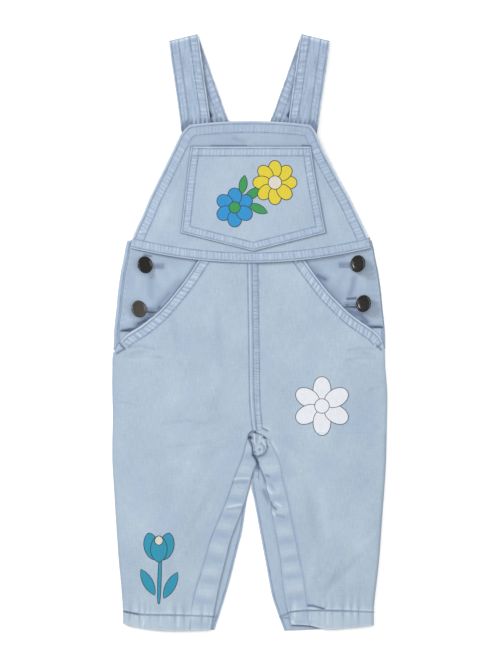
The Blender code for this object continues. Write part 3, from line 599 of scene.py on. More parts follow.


# %% [markdown]
# ## Washed denim
#
# Denim is woven from blue and white yarns of uneven thickness. From a step away the weave itself is too
# fine to see: what shows is the slub, fine streaks along the warp and a few across it. So the material
# mixes stretched noise for the slubs, a slow drift between greyer and bluer patches, and a true weave in
# the bump for close views. All of it is read from the cloth's own UV map, in metres, so that the warp runs
# along each piece. Over that it lays the pale of wear and painted highlight, the painted shade, and near
# black where the painted shade is deepest. The rungs between two rows of thread are a sine of the phase
# that each point was given along its seam, painted as light and dark stripes and also given to the bump.

# %% A small helper for nodes
class Nodes:
    """Adds nodes to a material, with short calls for the ones that are used most."""

    def __init__(self, name, **inputs):
        self.material = new_material(name, **inputs)
        self.tree = self.material.node_tree

    def add(self, kind, inputs=(), output=0, **settings):
        """Adds a node, sets its properties, fills or links its inputs, and gives one output."""
        node = self.tree.nodes.new("ShaderNode" + kind)
        for key, value in settings.items():
            setattr(node, key, value)
        for key, value in dict(inputs).items():
            if isinstance(value, bpy.types.NodeSocket):
                self.tree.links.new(value, node.inputs[key])
            else:
                node.inputs[key].default_value = value
        return node.outputs[output]

    def maths(self, operation, first, second=0.0):
        return self.add("Math", {0: first, 1: second}, operation=operation)

    def times(self, first, second):
        return self.maths("MULTIPLY", first, second)

    def weighted(self, *terms):
        """The sum of values, each times its weight."""
        total, *rest = (value if weight == 1 else self.times(value, weight) for value, weight in terms)
        for term in rest:
            total = self.maths("ADD", total, term)
        return total

    def stretch(self, value, low, high, to_low=0.0, to_high=1.0):
        """A value whose range from low to high is stretched to another range."""
        ends = {"From Min": low, "From Max": high, "To Min": to_low, "To Max": to_high}
        return self.add("MapRange", {"Value": value, **ends})

    def mix(self, factor, first, second):
        return self.add("Mix", {0: factor, 6: first, 7: second}, 2, data_type="RGBA")

    def noise(self, place, scale, detail=2.0, rough=0.5, **settings):
        """Noise; in one dimension its place is a number."""
        key = "W" if settings else "Vector"
        inputs = {key: place, "Scale": scale, "Detail": detail, "Roughness": rough}
        return self.add("TexNoise", inputs, **settings)

    def slub(self, uv, across, along, detail=2.0, shift=0.0):
        """Noise whose spots are this wide and this long on the cloth."""
        sizes = {"Scale": (1 / across, 1 / along, 1), "Location": (shift, shift * 0.7, 0)}
        return self.noise(self.add("Mapping", {"Vector": uv, **sizes}), 1.0, detail, 0.55)

    def finish(self, colour, relief=None, strength=0.5, distance=0.0002):
        """Links the colour and the bump to the shader, and gives the finished material."""
        shader = self.tree.nodes["Principled BSDF"]
        self.tree.links.new(colour, shader.inputs["Base Color"])
        if relief:
            bump = {"Height": relief, "Strength": strength, "Distance": distance}
            self.tree.links.new(self.add("Bump", bump), shader.inputs["Normal"])
        return self.material


# %% The denim
DENIM_LIGHT = (0.362, 0.438, 0.506, 1)
DENIM_MIDDLE = (0.268, 0.345, 0.428, 1)
DENIM_BLUE = (0.262, 0.336, 0.474, 1)
# Painted shade, which also carries darker tone; the pale of wear and painted highlight; and near black for
# the deepest painted shade.
DENIM_SHADE_AND_DARK_TONE = (0.150, 0.195, 0.290, 1)
DENIM_WORN_AND_LIT = (0.550, 0.620, 0.670, 1)
DENIM_DEEPEST_SHADE = (0.040, 0.055, 0.090, 1)
# Painted highlight on the crests of the rungs and painted shade between them.
RUNG_HIGHLIGHT = 0.56
RUNG_SHADE = 0.62
THREAD_PITCH = 0.00055


def rungs(nodes, uv, rung, phase):
    """The ladder of fine light and dark rungs, between -1 and 1, uneven as hand-fed seams are."""
    wander = nodes.noise(phase, 0.6, 1.0, noise_dimensions="1D")
    turn = nodes.weighted((phase, 2 * pi), (wander, 9.0))
    patch = nodes.stretch(nodes.slub(uv, 0.0030, 0.0034, 2.0, 6.0), 0.34, 0.62)
    strength = nodes.maths("ADD", nodes.times(patch, 0.85), 0.15)
    return nodes.times(nodes.maths("SINE", turn), nodes.times(rung, strength))


# %% The whole denim
def make_denim():
    """Light washed denim that reads each point's paleness from wear and painted highlight, its blueness,
    and its darkness, which is mostly painted shade.
    """
    sheen = {"Sheen_Weight": 0.08, "Sheen_Roughness": 0.45}
    nodes = Nodes("washed_denim", Roughness=0.92, Specular_IOR_Level=0.25, **sheen)
    uv = nodes.add("UVMap", uv_map="cloth")
    wear, blue, dark, rung, phase = (
        nodes.add("Attribute", output="Fac", attribute_name=layer) for layer in LAYERS
    )
    ladder = rungs(nodes, uv, rung, phase)
    # The ladder adds painted highlight to the paleness and painted shade to the darkness.
    wear = nodes.maths("MAXIMUM", wear, nodes.times(ladder, RUNG_HIGHLIGHT))
    dark = nodes.maths("MAXIMUM", dark, nodes.times(ladder, -RUNG_SHADE))
    drift = nodes.slub(uv, 0.045, 0.060, 3.0)
    warp = nodes.slub(uv, 0.0011, 0.0085, 3.0, 4.0)
    weft = nodes.slub(uv, 0.0090, 0.0012, 2.0, 9.0)
    grain = nodes.slub(uv, 0.0010, 0.0014, 3.0, 2.0)
    mottle = nodes.weighted((warp, 0.50), (weft, 0.26), (grain, 0.46), (drift, 0.60))
    colour = nodes.mix(nodes.stretch(mottle, 0.70, 1.12), DENIM_MIDDLE, DENIM_LIGHT)
    colour = nodes.mix(blue, colour, DENIM_BLUE)
    # Then the pale of wear and painted highlight, the painted shade, and near black where the painted shade
    # is deepest.
    rubbed = nodes.times(wear, nodes.maths("ADD", nodes.times(grain, 0.8), 0.50))
    colour = nodes.mix(rubbed, colour, DENIM_WORN_AND_LIT)
    colour = nodes.mix(dark, colour, DENIM_SHADE_AND_DARK_TONE)
    beyond = nodes.times(nodes.maths("SUBTRACT", dark, 0.8), 1.6)
    colour = nodes.mix(beyond, colour, DENIM_DEEPEST_SHADE)
    threads = nodes.add("Mapping", {"Vector": uv, "Scale": (1 / THREAD_PITCH, 1 / THREAD_PITCH, 1)})
    magic = {"Vector": threads, "Scale": 3.0, "Distortion": 0.6}
    weave = nodes.add("TexMagic", magic, "Fac", turbulence_depth=1)
    relief = nodes.weighted((weave, 0.35), (warp, 1), (ladder, 0.6))
    return nodes.finish(colour, relief, 0.55, 0.00022)


denim = make_denim()
print("denim nodes:", len(denim.node_tree.nodes))

# %% [markdown]
# ## From a cut piece to a shell
#
# Every cloth piece is made in the same four steps: a flat grid, its points laid out on the piece's form,
# the small relief of its seams and creases added, and a wall given below by Solidify. The grid's columns
# and rows are closer together where a seam needs them. The paleness of wear and painted highlight, the
# blueness, the darkness of painted shade and the lie of the warp are stored on the mesh, for the material.

# %% Laying out a piece
LOOK_TOPS = [[1], [1], [1.5], [1]]  # the most that the paleness of wear and highlight, blue, dark and rung can be
shells, surfaces = {}, {}


def lay_out(name, columns, rows, place, dress, wall=WALL, turned=False, grain=None):
    """A cloth piece on a grid.

    place(column, row) gives x, height and z of the form for arrays of both; dress(points) gives
    the look for each (x, height). grain(column, row) gives the UV where the warp doesn't run
    straight up the garment. A turned piece has its columns from the wearer's left to the right.
    """
    bm = bmesh.new()
    bmesh.ops.create_grid(bm, x_segments=len(columns) - 1, y_segments=len(rows) - 1, size=0.5)
    bm.verts.ensure_lookup_table()
    grid = np.array([vertex.co[:2] for vertex in bm.verts]) + 0.5
    column = np.asarray(columns)[np.rint(grid[:, 0] * (len(columns) - 1)).astype(int)]
    row = np.asarray(rows)[np.rint(grid[:, 1] * (len(rows) - 1)).astype(int)]
    x, height, z = place(column, row)
    points = np.column_stack([x, height])
    look = dress(points)
    look[WEAR_AND_HIGHLIGHT:PHASE] = np.clip(look[WEAR_AND_HIGHLIGHT:PHASE], 0, LOOK_TOPS)
    uv = points if grain is None else np.column_stack(grain(column, row))
    layers = [bm.verts.layers.float.new(layer) for layer in LAYERS]
    for n, vertex in enumerate(bm.verts):
        vertex.co = (x[n], height[n] - MIDDLE, z[n] + look[LIFT, n])
        for layer, value in zip(layers, look[WEAR_AND_HIGHLIGHT:, n]):
            vertex[layer] = value
    uv_layer = bm.loops.layers.uv.new("cloth")
    for face in bm.faces:
        for loop in face.loops:
            loop[uv_layer].uv = uv[loop.vert.index]
    if turned:
        bmesh.ops.reverse_faces(bm, faces=bm.faces)
    area = sum(face.calc_area() for face in bm.faces)
    surfaces[name] = BVHTree.FromBMesh(bm)
    piece = finish_piece(name, bm, denim)
    shell = piece.modifiers.new("wall", "SOLIDIFY")
    shell.thickness = wall
    shell.offset = -1
    shell.use_even_offset = True
    shells[name] = (piece, area)
    return piece


# %% Hanging a piece on the root and hiding its solid
def declare(name, node, flat, with_pieces=()):
    """Hangs a cloth piece on the root, hides the solid that it covers, and prints the size of its cut and
    its share of cloth.
    """
    piece, area = shells[name]
    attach(piece, "root")
    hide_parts(node)
    share = area / (flat[0] * flat[1])
    print(f"{name}: {flat[0] * 1000:.0f} x {flat[1] * 1000:.0f} mm, {share:.2f} of it cloth")


def spread_steps(*stretches):
    """Places from stretches of (start, end, count), each without its end but for the last."""
    places = [np.linspace(start, end, count, endpoint=False) for start, end, count in stretches]
    return np.append(np.concatenate(places), stretches[-1][1])


# %% [markdown]
# ## Thread
#
# The topstitching is real thread: every stitch is a small ellipsoid, half sunk in its groove.
# Its place comes from the seam's own line, moved sideways, and a ray cast down on the cloth
# gives its height and its lean. Where one row would run under another seam it stops.

# %% Thread
STITCH_PITCH = 0.0032
STITCH_SIZE = (0.0024, 0.00052, 0.00036)  # length, width, height
THREAD_COLOURS = ((0.165, 0.215, 0.310, 1), (0.250, 0.310, 0.400, 1))
CORNER_MARGIN = 0.0002  # a row keeps this close to its distance, so it turns at corners
CROSSING_MARGIN = 0.0004  # from another seam's first row, where a row stops
LEVEL_MARGIN = 0.0011  # above and below the level of the layer that is sewn


def make_thread():
    """Tonal blue cotton thread with a fine twist."""
    nodes = Nodes("tonal_thread", Roughness=0.8)
    place = nodes.add("TexCoord", output="Object")
    twist, drift = nodes.noise(place, 2600.0), nodes.noise(place, 240.0)
    blend = nodes.times(nodes.maths("ADD", twist, drift), 0.5)
    return nodes.finish(nodes.mix(blend, *THREAD_COLOURS), twist, 0.5, 0.0001)


thread = make_thread()


# %% Places along a seam
def beside_line(line, distance):
    """A place for each stitch along a line, moved to its left by a distance, and the headings."""
    along = np.concatenate([[0], np.cumsum(np.hypot(*np.diff(line, axis=0).T))])
    at = np.arange(STITCH_PITCH / 2, along[-1], STITCH_PITCH)
    here, back, on = (
        np.column_stack([np.interp(at + step, along, line[:, n]) for n in (0, 1)])
        for step in (0, -STITCH_PITCH / 4, STITCH_PITCH / 4)
    )
    heading = np.arctan2(*(on - back).T[::-1])
    sideways = np.column_stack([-np.sin(heading), np.cos(heading)])
    return here + distance * sideways, heading


def cloth_under(surface, place, level=None, under=False):
    """Height and normal of the cloth at an (x, height); none where it has no cloth there."""
    start, way = (-1, 1) if under else (1, -1)
    origin = Vector((place[0], place[1] - MIDDLE, start))
    spot, normal, _, _ = surface.ray_cast(origin, Vector((0, 0, way)))
    if spot is None or (level is not None and abs(spot.z - level) > LEVEL_MARGIN):
        return None
    return spot, normal if normal.z > 0 else -normal


# %% Stitches and rows
def add_stitch(bm, spot, normal, heading, size=STITCH_SIZE):
    along = Vector((cos(heading), sin(heading), 0))
    side = normal.cross(along).normalized()
    turn = Matrix((side.cross(normal), side, normal)).transposed().to_4x4()
    matrix = Matrix.Translation(spot) @ turn @ Matrix.Diagonal((*size, 1))
    bmesh.ops.create_uvsphere(bm, u_segments=6, v_segments=4, radius=0.5, matrix=matrix)


def sew_row(bm, surface, line, distance, crossing=(), level=None, wall=0.0, under=False):
    """One row of stitches, on the side of the line where the cloth is."""
    sides = []
    for side in (1, -1):
        places, headings = beside_line(line, side * distance)
        found = [cloth_under(surface, place, level, under) for place in places]
        sides.append((sum(spot is not None for spot in found), places, headings, found))
    _, places, headings, found = max(sides, key=lambda side: side[0])
    to_line, _ = along_line(places, line)
    free = to_line > distance - CORNER_MARGIN
    for other in crossing:
        away, _ = along_line(places, other.line)
        free &= away > other.rows[0] - CROSSING_MARGIN
    for spot, heading, is_free in zip(found, headings, free):
        if spot is not None and is_free:
            add_stitch(bm, spot[0] - spot[1] * wall, spot[1], heading)


def sew(piece_name, bands, wall=0.0, under=False):
    """The thread of all the rows of a piece's bands, as one object."""
    bm = bmesh.new()
    for band in bands:
        crossing = [other for other in bands if other is not band and other.rows]
        for row in band.rows:
            sew_row(bm, surfaces[piece_name], band.line, row, crossing, wall=wall, under=under)
    return finish_thread(piece_name, bm)


def finish_trim(name, bm, *materials):
    """Thread or ink, which goes where its cloth goes."""
    piece = finish_piece(name, bm, *materials)
    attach(piece, "root")
    return piece


def finish_thread(piece_name, bm):
    return finish_trim(piece_name.replace("cloth", "thread"), bm, thread)


# %% [markdown]
# ## The back
#
# The back lies flat on the table: two legs with a centre seam, side seams and hems, the strip
# at each hip that carries the buttons, and the back bib. From the front little of it shows,
# only the edges in the crotch and beside the hips. Its outside is the underside, so its seams
# are grooves that go up into the cloth, and it has its own thread there.

# %% Back: tables and look
BACK_TOP_HEIGHT = 0.3690
BACK_BIB_HEIGHT = 0.4380
STAND_WIDTH = 0.0340
STAND_BOTTOM_HEIGHT = 0.2660
# height, width, in mm
STAND_SEAM = metres((265, 0), (268, 16), (272, 30), (280, 34), (370, 34))
# height, half width, in mm
BACK_BIB = metres((369.3, 112), (380, 96), (395, 74), (410, 56), (425, 43), (438, 36))
FACING_INSET = {RIGHT: 0.0050, LEFT: 0.0012}  # from the side of the back to the facing's edge
BACK_RISE = 0.0003  # of the cloth between the seams, which bear on the table
BACK_RELIEF = 0.0008  # the most that a look may lift the back
BACK_CREASES = [
    (-60, 200, 70, 20, 0.4, 14), (62, 190, 70, 20, 0.4, -12), (-85, 90, 60, 14, 0.4, -18),
    (80, 100, 60, 14, 0.4, 20), (-45, 310, 40, 12, 0.3, 40), (48, 315, 40, 12, 0.3, -44),
]
# Painted shade on the back where the plackets' kinks and the front hem overhang it.
BACK_STROKES = {
    RIGHT: strokes_from((1.6, 0, 0, 0.5, 6, 156, 4, 150, 1, 140)),
    LEFT: strokes_from(
        (3, 0, 0, 1.1, 7.8, 160, 8.5, 153), (1.3, 0, 0, 0.95, 9.5, 156, 13, 147, 15.2, 140),
        (2.2, 0, 0, 0.8, 13.5, 132, 16.5, 126, 19.2, 121), (1.4, 0, 0, 0.6, 21.5, 115, 23.5, 104),
        (0.9, 0, 0, 0.95, 28.6, 12.8, 36.7, 16.5), (1.4, 0, 0, 1, 40, 5, 56, 4.2, 64, 2.6),
    ),
}


def stand_seam(height):
    return np.interp(height, *zip(*STAND_SEAM))


def back_look(points, bands, blue=0.0):
    """A look whose relief goes up into the cloth, so that nothing reaches below the table."""
    look = seam_look(points, bands)
    lift = folds(points[:, 0], points[:, 1], BACK_CREASES) + rumple(points, 0.03, 0.0001, 61.0)
    look[LIFT] = np.clip(BACK_RISE - look[LIFT] + lift, 0, BACK_RELIEF)
    at_least(look, BLUE, blue)
    return look


def finish_back(name, node, flat, bands):
    declare(name, node, flat, [sew(name, bands, wall=WALL, under=True)])


# %% Back legs
def add_back_leg(side):
    def place(share, row):
        height = row.copy()
        for _ in range(SETTLING):
            inner = back_inner(side, height) + GAP / 2
            outer = back_outer(side, height) - stand_seam(height)
            out = inner + (outer - inner) * share
            height = row + hem_edge(side, out, BACK) * np.clip(1 - row / HEM_FADE, 0, 1)
        return side * out, height, np.full(len(out), BACK_TOP)

    hem_out = np.linspace(0.020, 0.1215, 60)
    hem = np.column_stack([side * hem_out, hem_edge(side, hem_out, BACK)])
    top = np.array([(side * 0.002, BACK_TOP_HEIGHT), (side * 0.09, BACK_TOP_HEIGHT)])
    inseam = upright_line(side, back_inner, 0.0, 0.140)
    centre = upright_line(side, back_inner, 0.142, 0.3680)
    outseam = upright_line(side, back_outer, 0.0, 0.2640)
    free = upright_line(side, placket_free, 0.0, 0.1600, 60)
    bands = [
        Band(inseam, 0.0030, 0.0001, (0.0020,), 0.0075, 0.0001, 0, 2.0),
        Band(centre, 0.0078, 0.0002, (0.0016, 0.0068), 0.008, 0.0001, 0.3, 3.0),
        Band(outseam, 0.0060, 0.0002, (0.0046,), 0.009, 0.0001, 0.3, 4.0),
        Band(top, 0.0090, 0.0002, (0.0016, 0.0080), 0.007, 0.0001, 0.2, 5.0),
        Band(hem, 0.0135, 0.0002, (0.0120,), 0.010, 0.0001, 0.2, 6.0),
    ]

    def dress(points):
        look = together(back_look(points, bands), crease_look(points, (), BACK_STROKES[side]))
        look[LIFT] = np.clip(look[LIFT], 0, BACK_RELIEF)
        # Painted shadow beside the placket's free edge.
        at_least(look, DARK, beside(points, free, 0.0020, 0.22))
        at_least(look, BLUE, 0.25)
        return look

    columns = spread_steps((0, 0.10, 22), (0.10, 0.90, 20), (0.90, 1, 14))
    rows = spread_steps((0, 0.020, 20), (0.020, 0.16, 62), (0.16, 0.355, 36), (0.355, BACK_TOP_HEIGHT, 12))
    name = f"cloth_back_leg_{NAMES[side]}"
    lay_out(name, columns, rows, place, dress, turned=side == RIGHT)
    finish_back(name, f"back_leg_{NAMES[side]}", (0.1340, 0.3700), bands)


# %% Button stands
def add_button_stand(side):
    def place(share, row):
        outer = back_outer(side, row)
        inner = outer - stand_seam(row) + GAP
        return side * (inner + (outer - inner) * share), row, np.full(len(row), BACK_TOP)

    edge = upright_line(side, back_outer, STAND_BOTTOM_HEIGHT, BACK_TOP_HEIGHT, 40)
    seam = edge - np.column_stack([side * stand_seam(edge[:, 1]), np.zeros(40)])
    top_edge = np.array([edge[-1], edge[-1] - (side * STAND_WIDTH, 0)])
    cover = edge - (side * FACING_INSET[side], 0)
    bands = [
        Band(edge, 0.0045, 0.0001, (0.0030,), 0.0080, 0.00015, 0.2, 5.0),
        Band(top_edge, 0.0096, 0.0001, (0.0030, 0.0085), 0.0080, 0.0001, 0.2, 7.0),
        Band(seam[4:], 0.0030, 0.0001, (0.0022,), 0.0080, 0.0001, 0.2, 8.0),
    ]

    def dress(points):
        look = back_look(points, bands, 0.25)
        # Painted shadow beside the facing's edge.
        at_least(look, DARK, beside(points, cover, 0.0012, 0.60))
        return look

    columns = spread_steps((0, 0.2, 8), (0.2, 0.72, 8), (0.72, 1, 18))
    rows = spread_steps((STAND_BOTTOM_HEIGHT, 0.3560, 60), (0.3560, BACK_TOP_HEIGHT, 16))
    name = f"cloth_button_stand_{NAMES[side]}"
    lay_out(name, columns, rows, place, dress, turned=side == RIGHT)
    finish_back(name, f"hip_button_stand_{NAMES[side]}", (STAND_WIDTH + 0.004, 0.1030), bands)


# %% Back bib
def add_back_bib():
    def place(across, row):
        return across * smooth(BACK_BIB, row)[1], row, np.full(len(row), BACK_TOP)

    low = BACK_TOP_HEIGHT + GAP
    right, left = (edge_of(place, side, np.linspace(low, BACK_BIB_HEIGHT, 40)) for side in NAMES)
    bands = [
        Band(right, 0.0122, 0.0002, (0.0024, 0.0105), 0.008, 0.00012, 0.3, 1.0),
        Band(left, 0.0122, 0.0002, (0.0024, 0.0105), 0.008, 0.00012, 0.3, 2.0),
        Band(np.array([(-0.112, low), (0.112, low)]), 0.0030, 0.0001, (0.0018,), 0.008, 0, 0, 3.0),
    ]
    columns = spread_steps((-1, -0.7, 18), (-0.7, 0.7, 32), (0.7, 1, 18))
    rows = spread_steps((low, 0.3760, 10), (0.3760, BACK_BIB_HEIGHT, 38))
    lay_out("cloth_back_bib", columns, rows, place, lambda points: back_look(points, bands, 0.40))
    finish_back("cloth_back_bib", "back_bib", (0.2240, 0.0690), bands)


for side in (RIGHT, LEFT):
    add_back_leg(side)
    add_button_stand(side)
add_back_bib()

# %% [markdown]
# ## Buttons
#
# A jeans button is a dished cap on a short neck. Its outline is turned round its axis with
# spin. The cap leans on the cloth towards the centre line, because the waist pulls at its neck.
# One of the four is painted grey-brown, for the reflection that its glossy face shows.

# %% Where the buttons are
BUTTON_TILT = 35
ButtonPlace = namedtuple("ButtonPlace", "name side out height lean_up")
BUTTONS = [
    ButtonPlace("upper", RIGHT, 0.0983, 0.3459, 15),
    ButtonPlace("lower", RIGHT, 0.1040, 0.3042, 15),
    ButtonPlace("upper", LEFT, 0.1021, 0.3469, 15),
    ButtonPlace("lower", LEFT, 0.1074, 0.3093, 15),
]
BUTTON_CLEARANCE = 0.00035
FACE_Z = 0.0021
# radius, z, in mm
BUTTON_PROFILE = metres(
    (0, 2.1), (2.9, 2.05), (5.3, 2.1), (6, 2.3), (6.5, 2.7), (6.95, 2.92), (7.4, 2.9), (7.9, 2.5),
    (8.2, 2), (8.1, 1.4), (7.7, 1), (5.8, 0.5), (2.9, 0.1), (2.1, -0.4), (1.9, -1), (1.9, -5),
)


def button_axis(place):
    """The way a button's face looks: up, and leaning towards the centre line."""
    tilt, up = radians(BUTTON_TILT), radians(place.lean_up)
    return Vector((-place.side * sin(tilt) * cos(up), sin(tilt) * sin(up), cos(tilt)))


def button_origin(place):
    """Where the underside of a button's head meets its neck, in the frame."""
    tilt = radians(BUTTON_TILT)
    lowest = min(z * cos(tilt) - radius * sin(tilt) for radius, z in BUTTON_PROFILE[:-4])
    face = button_axis(place) * FACE_Z
    x, y = place.side * place.out - face.x, place.height - MIDDLE - face.y
    return Vector((x, y, FACING_TOP + BUTTON_CLEARANCE - lowest))


def eyelet_centre(place):
    """Where a button's neck passes the middle of the facing."""
    origin, axis = button_origin(place), button_axis(place)
    return origin - axis * ((origin.z - FACING_TOP + WALL / 2) / axis.z)


# %% Black enamel
def make_enamel(name, *colours):
    """Enamel of two mixed colours, with a little dust and fine handling marks."""
    nodes = Nodes(name, Specular_IOR_Level=0.28, Coat_Weight=0.16, Coat_Roughness=0.08)
    speck = nodes.noise(nodes.add("TexCoord", output="Object"), 900.0, 4.0)
    rough = nodes.stretch(speck, 0.35, 0.7, 0.14, 0.26)
    nodes.tree.links.new(rough, nodes.tree.nodes["Principled BSDF"].inputs["Roughness"])
    return nodes.finish(nodes.mix(speck, *colours))


enamel = make_enamel("black_enamel", (0.007, 0.006, 0.006, 1), (0.015, 0.013, 0.011, 1))
# A grey-brown enamel: a painted reflection on one button's face.
grey_reflection = make_enamel("grey_reflection_enamel", (0.040, 0.036, 0.032, 1), (0.075, 0.066, 0.058, 1))
BUTTON_STEPS = 64

# %% Turned buttons
for place in BUTTONS:
    bm = bmesh.new()
    outline = [bm.verts.new((radius, 0, z)) for radius, z in BUTTON_PROFILE]
    outline.append(bm.verts.new((0, 0, BUTTON_PROFILE[-1][1])))
    for start, end in zip(outline, outline[1:]):
        bm.edges.new((start, end))
    bmesh.ops.spin(
        bm, geom=bm.verts[:] + bm.edges[:], cent=(0, 0, 0), axis=(0, 0, 1), angle=2 * pi,
        steps=BUTTON_STEPS, use_merge=True,
    )
    bmesh.ops.remove_doubles(bm, verts=bm.verts, dist=0.00001)
    bmesh.ops.recalc_face_normals(bm, faces=bm.faces)
    turn = button_axis(place).to_track_quat("Z", "Y").to_matrix().to_4x4()
    bmesh.ops.transform(bm, matrix=Matrix.Translation(button_origin(place)) @ turn, verts=bm.verts)
    # The lower button on the wearer's right gets the painted reflection.
    finish = grey_reflection if (place.name, place.side) == ("lower", RIGHT) else enamel
    button = finish_piece(f"enamel_button_{place.name}_{NAMES[place.side]}", bm, finish)
    button.data.set_sharp_from_angle(angle=radians(50))
    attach(button, "root")
    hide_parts(f"button_{place.name}_{NAMES[place.side]}")
print("buttons:", len(BUTTONS))

# %% [markdown]
# ## Printed flowers
#
# The flowers are screen prints: thin, opaque ink that follows the cloth and lets its slubs show.
# Each shape is a grid wound round its middle into a leaf, a petal or a disc, and every point is
# dropped on the cloth by a ray, so the ink lies on each crease. The outermost ring of faces has
# the dark ink of the drawn outline.

# %% Inks
INKS = {
    "outline": (0.030, 0.034, 0.038, 1),
    "grey": (0.090, 0.105, 0.125, 1),
    "yellow": (0.560, 0.460, 0.035, 1),
    "blue": (0.024, 0.218, 0.467, 1),
    "green": (0.035, 0.244, 0.074, 1),
    "white": (0.600, 0.620, 0.655, 1),
    "teal": (0.024, 0.235, 0.350, 1),
    "cream": (0.540, 0.505, 0.430, 1),
}
INK_LEVEL = 0.00018
INK_STEP = 0.000022


def make_ink(name, colour):
    """Printing ink: one colour, a little worn along the warp, with the cloth's own relief."""
    nodes = Nodes(f"ink_{name}", Roughness=0.8, Specular_IOR_Level=0.25)
    uv = nodes.add("UVMap", uv_map="cloth")
    warp, weft = nodes.slub(uv, 0.0011, 0.0085, 3.0, 4.0), nodes.slub(uv, 0.0060, 0.0012, 2.0, 9.0)
    relief = nodes.weighted((warp, 0.6), (weft, 0.4))
    deep = tuple(value * 0.88 for value in colour[:3]) + (1,)
    return nodes.finish(nodes.mix(nodes.stretch(relief, 0.35, 0.65), deep, colour), relief)


inks = {name: make_ink(name, colour) for name, colour in INKS.items()}
INK_ORDER = list(INKS)

# %% Shapes of ink
RIM = 0.0007
RINGS = 8  # of faces from a shape's middle to its rim
# x and height of the middle, heading in degrees, length, width, bluntness of the ends, ink, layer
Shape = namedtuple(
    "Shape", "x height heading length width blunt ink layer rim_ink", defaults=("outline",)
)


def flower(x, height, count, first, petal, middle, rim_ink="outline"):
    """Petals round a middle, each lapping over the one before. petal is (at, length, width, ink)."""
    at, length, width, ink = petal
    shapes = []
    for n in range(count):
        heading = first + n * 360 / count
        away = Vector((cos(radians(heading)), sin(radians(heading)))) * at
        place = (x + away.x, height + away.y)
        shapes.append(Shape(*place, heading, length, width, 2.2, ink, n + 1, rim_ink))
    size, ink = middle
    return shapes + [Shape(x, height, 0, size, size, 2, ink, count + 1, rim_ink)]


def shape_spot(shape, ring, turn):
    """x and height on a ring of a shape. The rings count from its middle; the last is its rim."""
    heading = radians(shape.heading)
    along, across = Vector((cos(heading), sin(heading))), Vector((-sin(heading), cos(heading)))
    share, rim = min(ring / RINGS, 1), RIM * (ring > RINGS)
    u = cos(turn) * (shape.length / 2 * share + rim)
    v = copysign(abs(sin(turn)) ** (2 / shape.blunt), turn) * (shape.width / 2 * share + rim)
    return Vector((shape.x, shape.height)) + along * u + across * v


# %% Printing the shapes
def add_print(name, surface, shapes):
    """One object that holds all the shapes of a print, each with its own ink."""
    bm = bmesh.new()
    uv_layer = bm.loops.layers.uv.new("cloth")
    for shape in shapes:
        turns = max(24, round((shape.length + shape.width) / 0.0006))
        grid = bmesh.ops.create_grid(bm, x_segments=RINGS + 1, y_segments=turns, size=1.0)["verts"]
        faces = {face for vertex in grid for face in vertex.link_faces}
        rim = {face for face in faces if face.calc_center_median().x > 1 - 2 / (RINGS + 1)}
        for vertex in grid:
            ring = round((vertex.co.x + 1) / 2 * (RINGS + 1))
            spot, normal = cloth_under(surface, shape_spot(shape, ring, vertex.co.y * pi))
            vertex.co = spot + normal * (INK_LEVEL + INK_STEP * shape.layer)
        for face in faces:
            face.material_index = INK_ORDER.index(shape.rim_ink if face in rim else shape.ink)
            for loop in face.loops:
                loop[uv_layer].uv = (loop.vert.co.x, loop.vert.co.y + MIDDLE)
    bmesh.ops.remove_doubles(bm, verts=bm.verts, dist=0.000002)
    return finish_trim(name, bm, *inks.values())


# %% The three prints
POCKET_PRINTS = [
    Shape(0.0030, 0.4130, 35, 0.0200, 0.0075, 1.2, "green", 0),
    Shape(0.0080, 0.3990, -25, 0.0190, 0.0072, 1.2, "green", 0),
    Shape(-0.0060, 0.4215, 80, 0.0170, 0.0068, 1.2, "green", 0),
    *flower(0.0240, 0.4235, 8, 0, (0.0126, 0.0156, 0.0116, "yellow"), (0.0120, "cream")),
    *flower(-0.0140, 0.4000, 6, 30, (0.0106, 0.0148, 0.0124, "blue"), (0.0100, "green")),
]
LEG_PRINTS = {
    LEFT: flower(0.0685, 0.2125, 6, 90, (0.0158, 0.0230, 0.0160, "white"), (0.0130, "white"), "grey"),
    RIGHT: [
        Shape(-0.0850, 0.0480, 88, 0.0440, 0.0026, 4.0, "teal", 0),
        Shape(-0.0960, 0.0460, 118, 0.0270, 0.0086, 1.2, "teal", 0),
        Shape(-0.0745, 0.0430, 62, 0.0270, 0.0086, 1.2, "teal", 0),
        Shape(-0.0925, 0.0800, 102, 0.0250, 0.0135, 1.6, "teal", 1),
        Shape(-0.0785, 0.0800, 78, 0.0250, 0.0135, 1.6, "teal", 2),
        Shape(-0.0856, 0.0775, 90, 0.0240, 0.0150, 1.7, "teal", 3),
        Shape(-0.0856, 0.0855, 90, 0.0080, 0.0072, 1.6, "cream", 4),
    ],
}
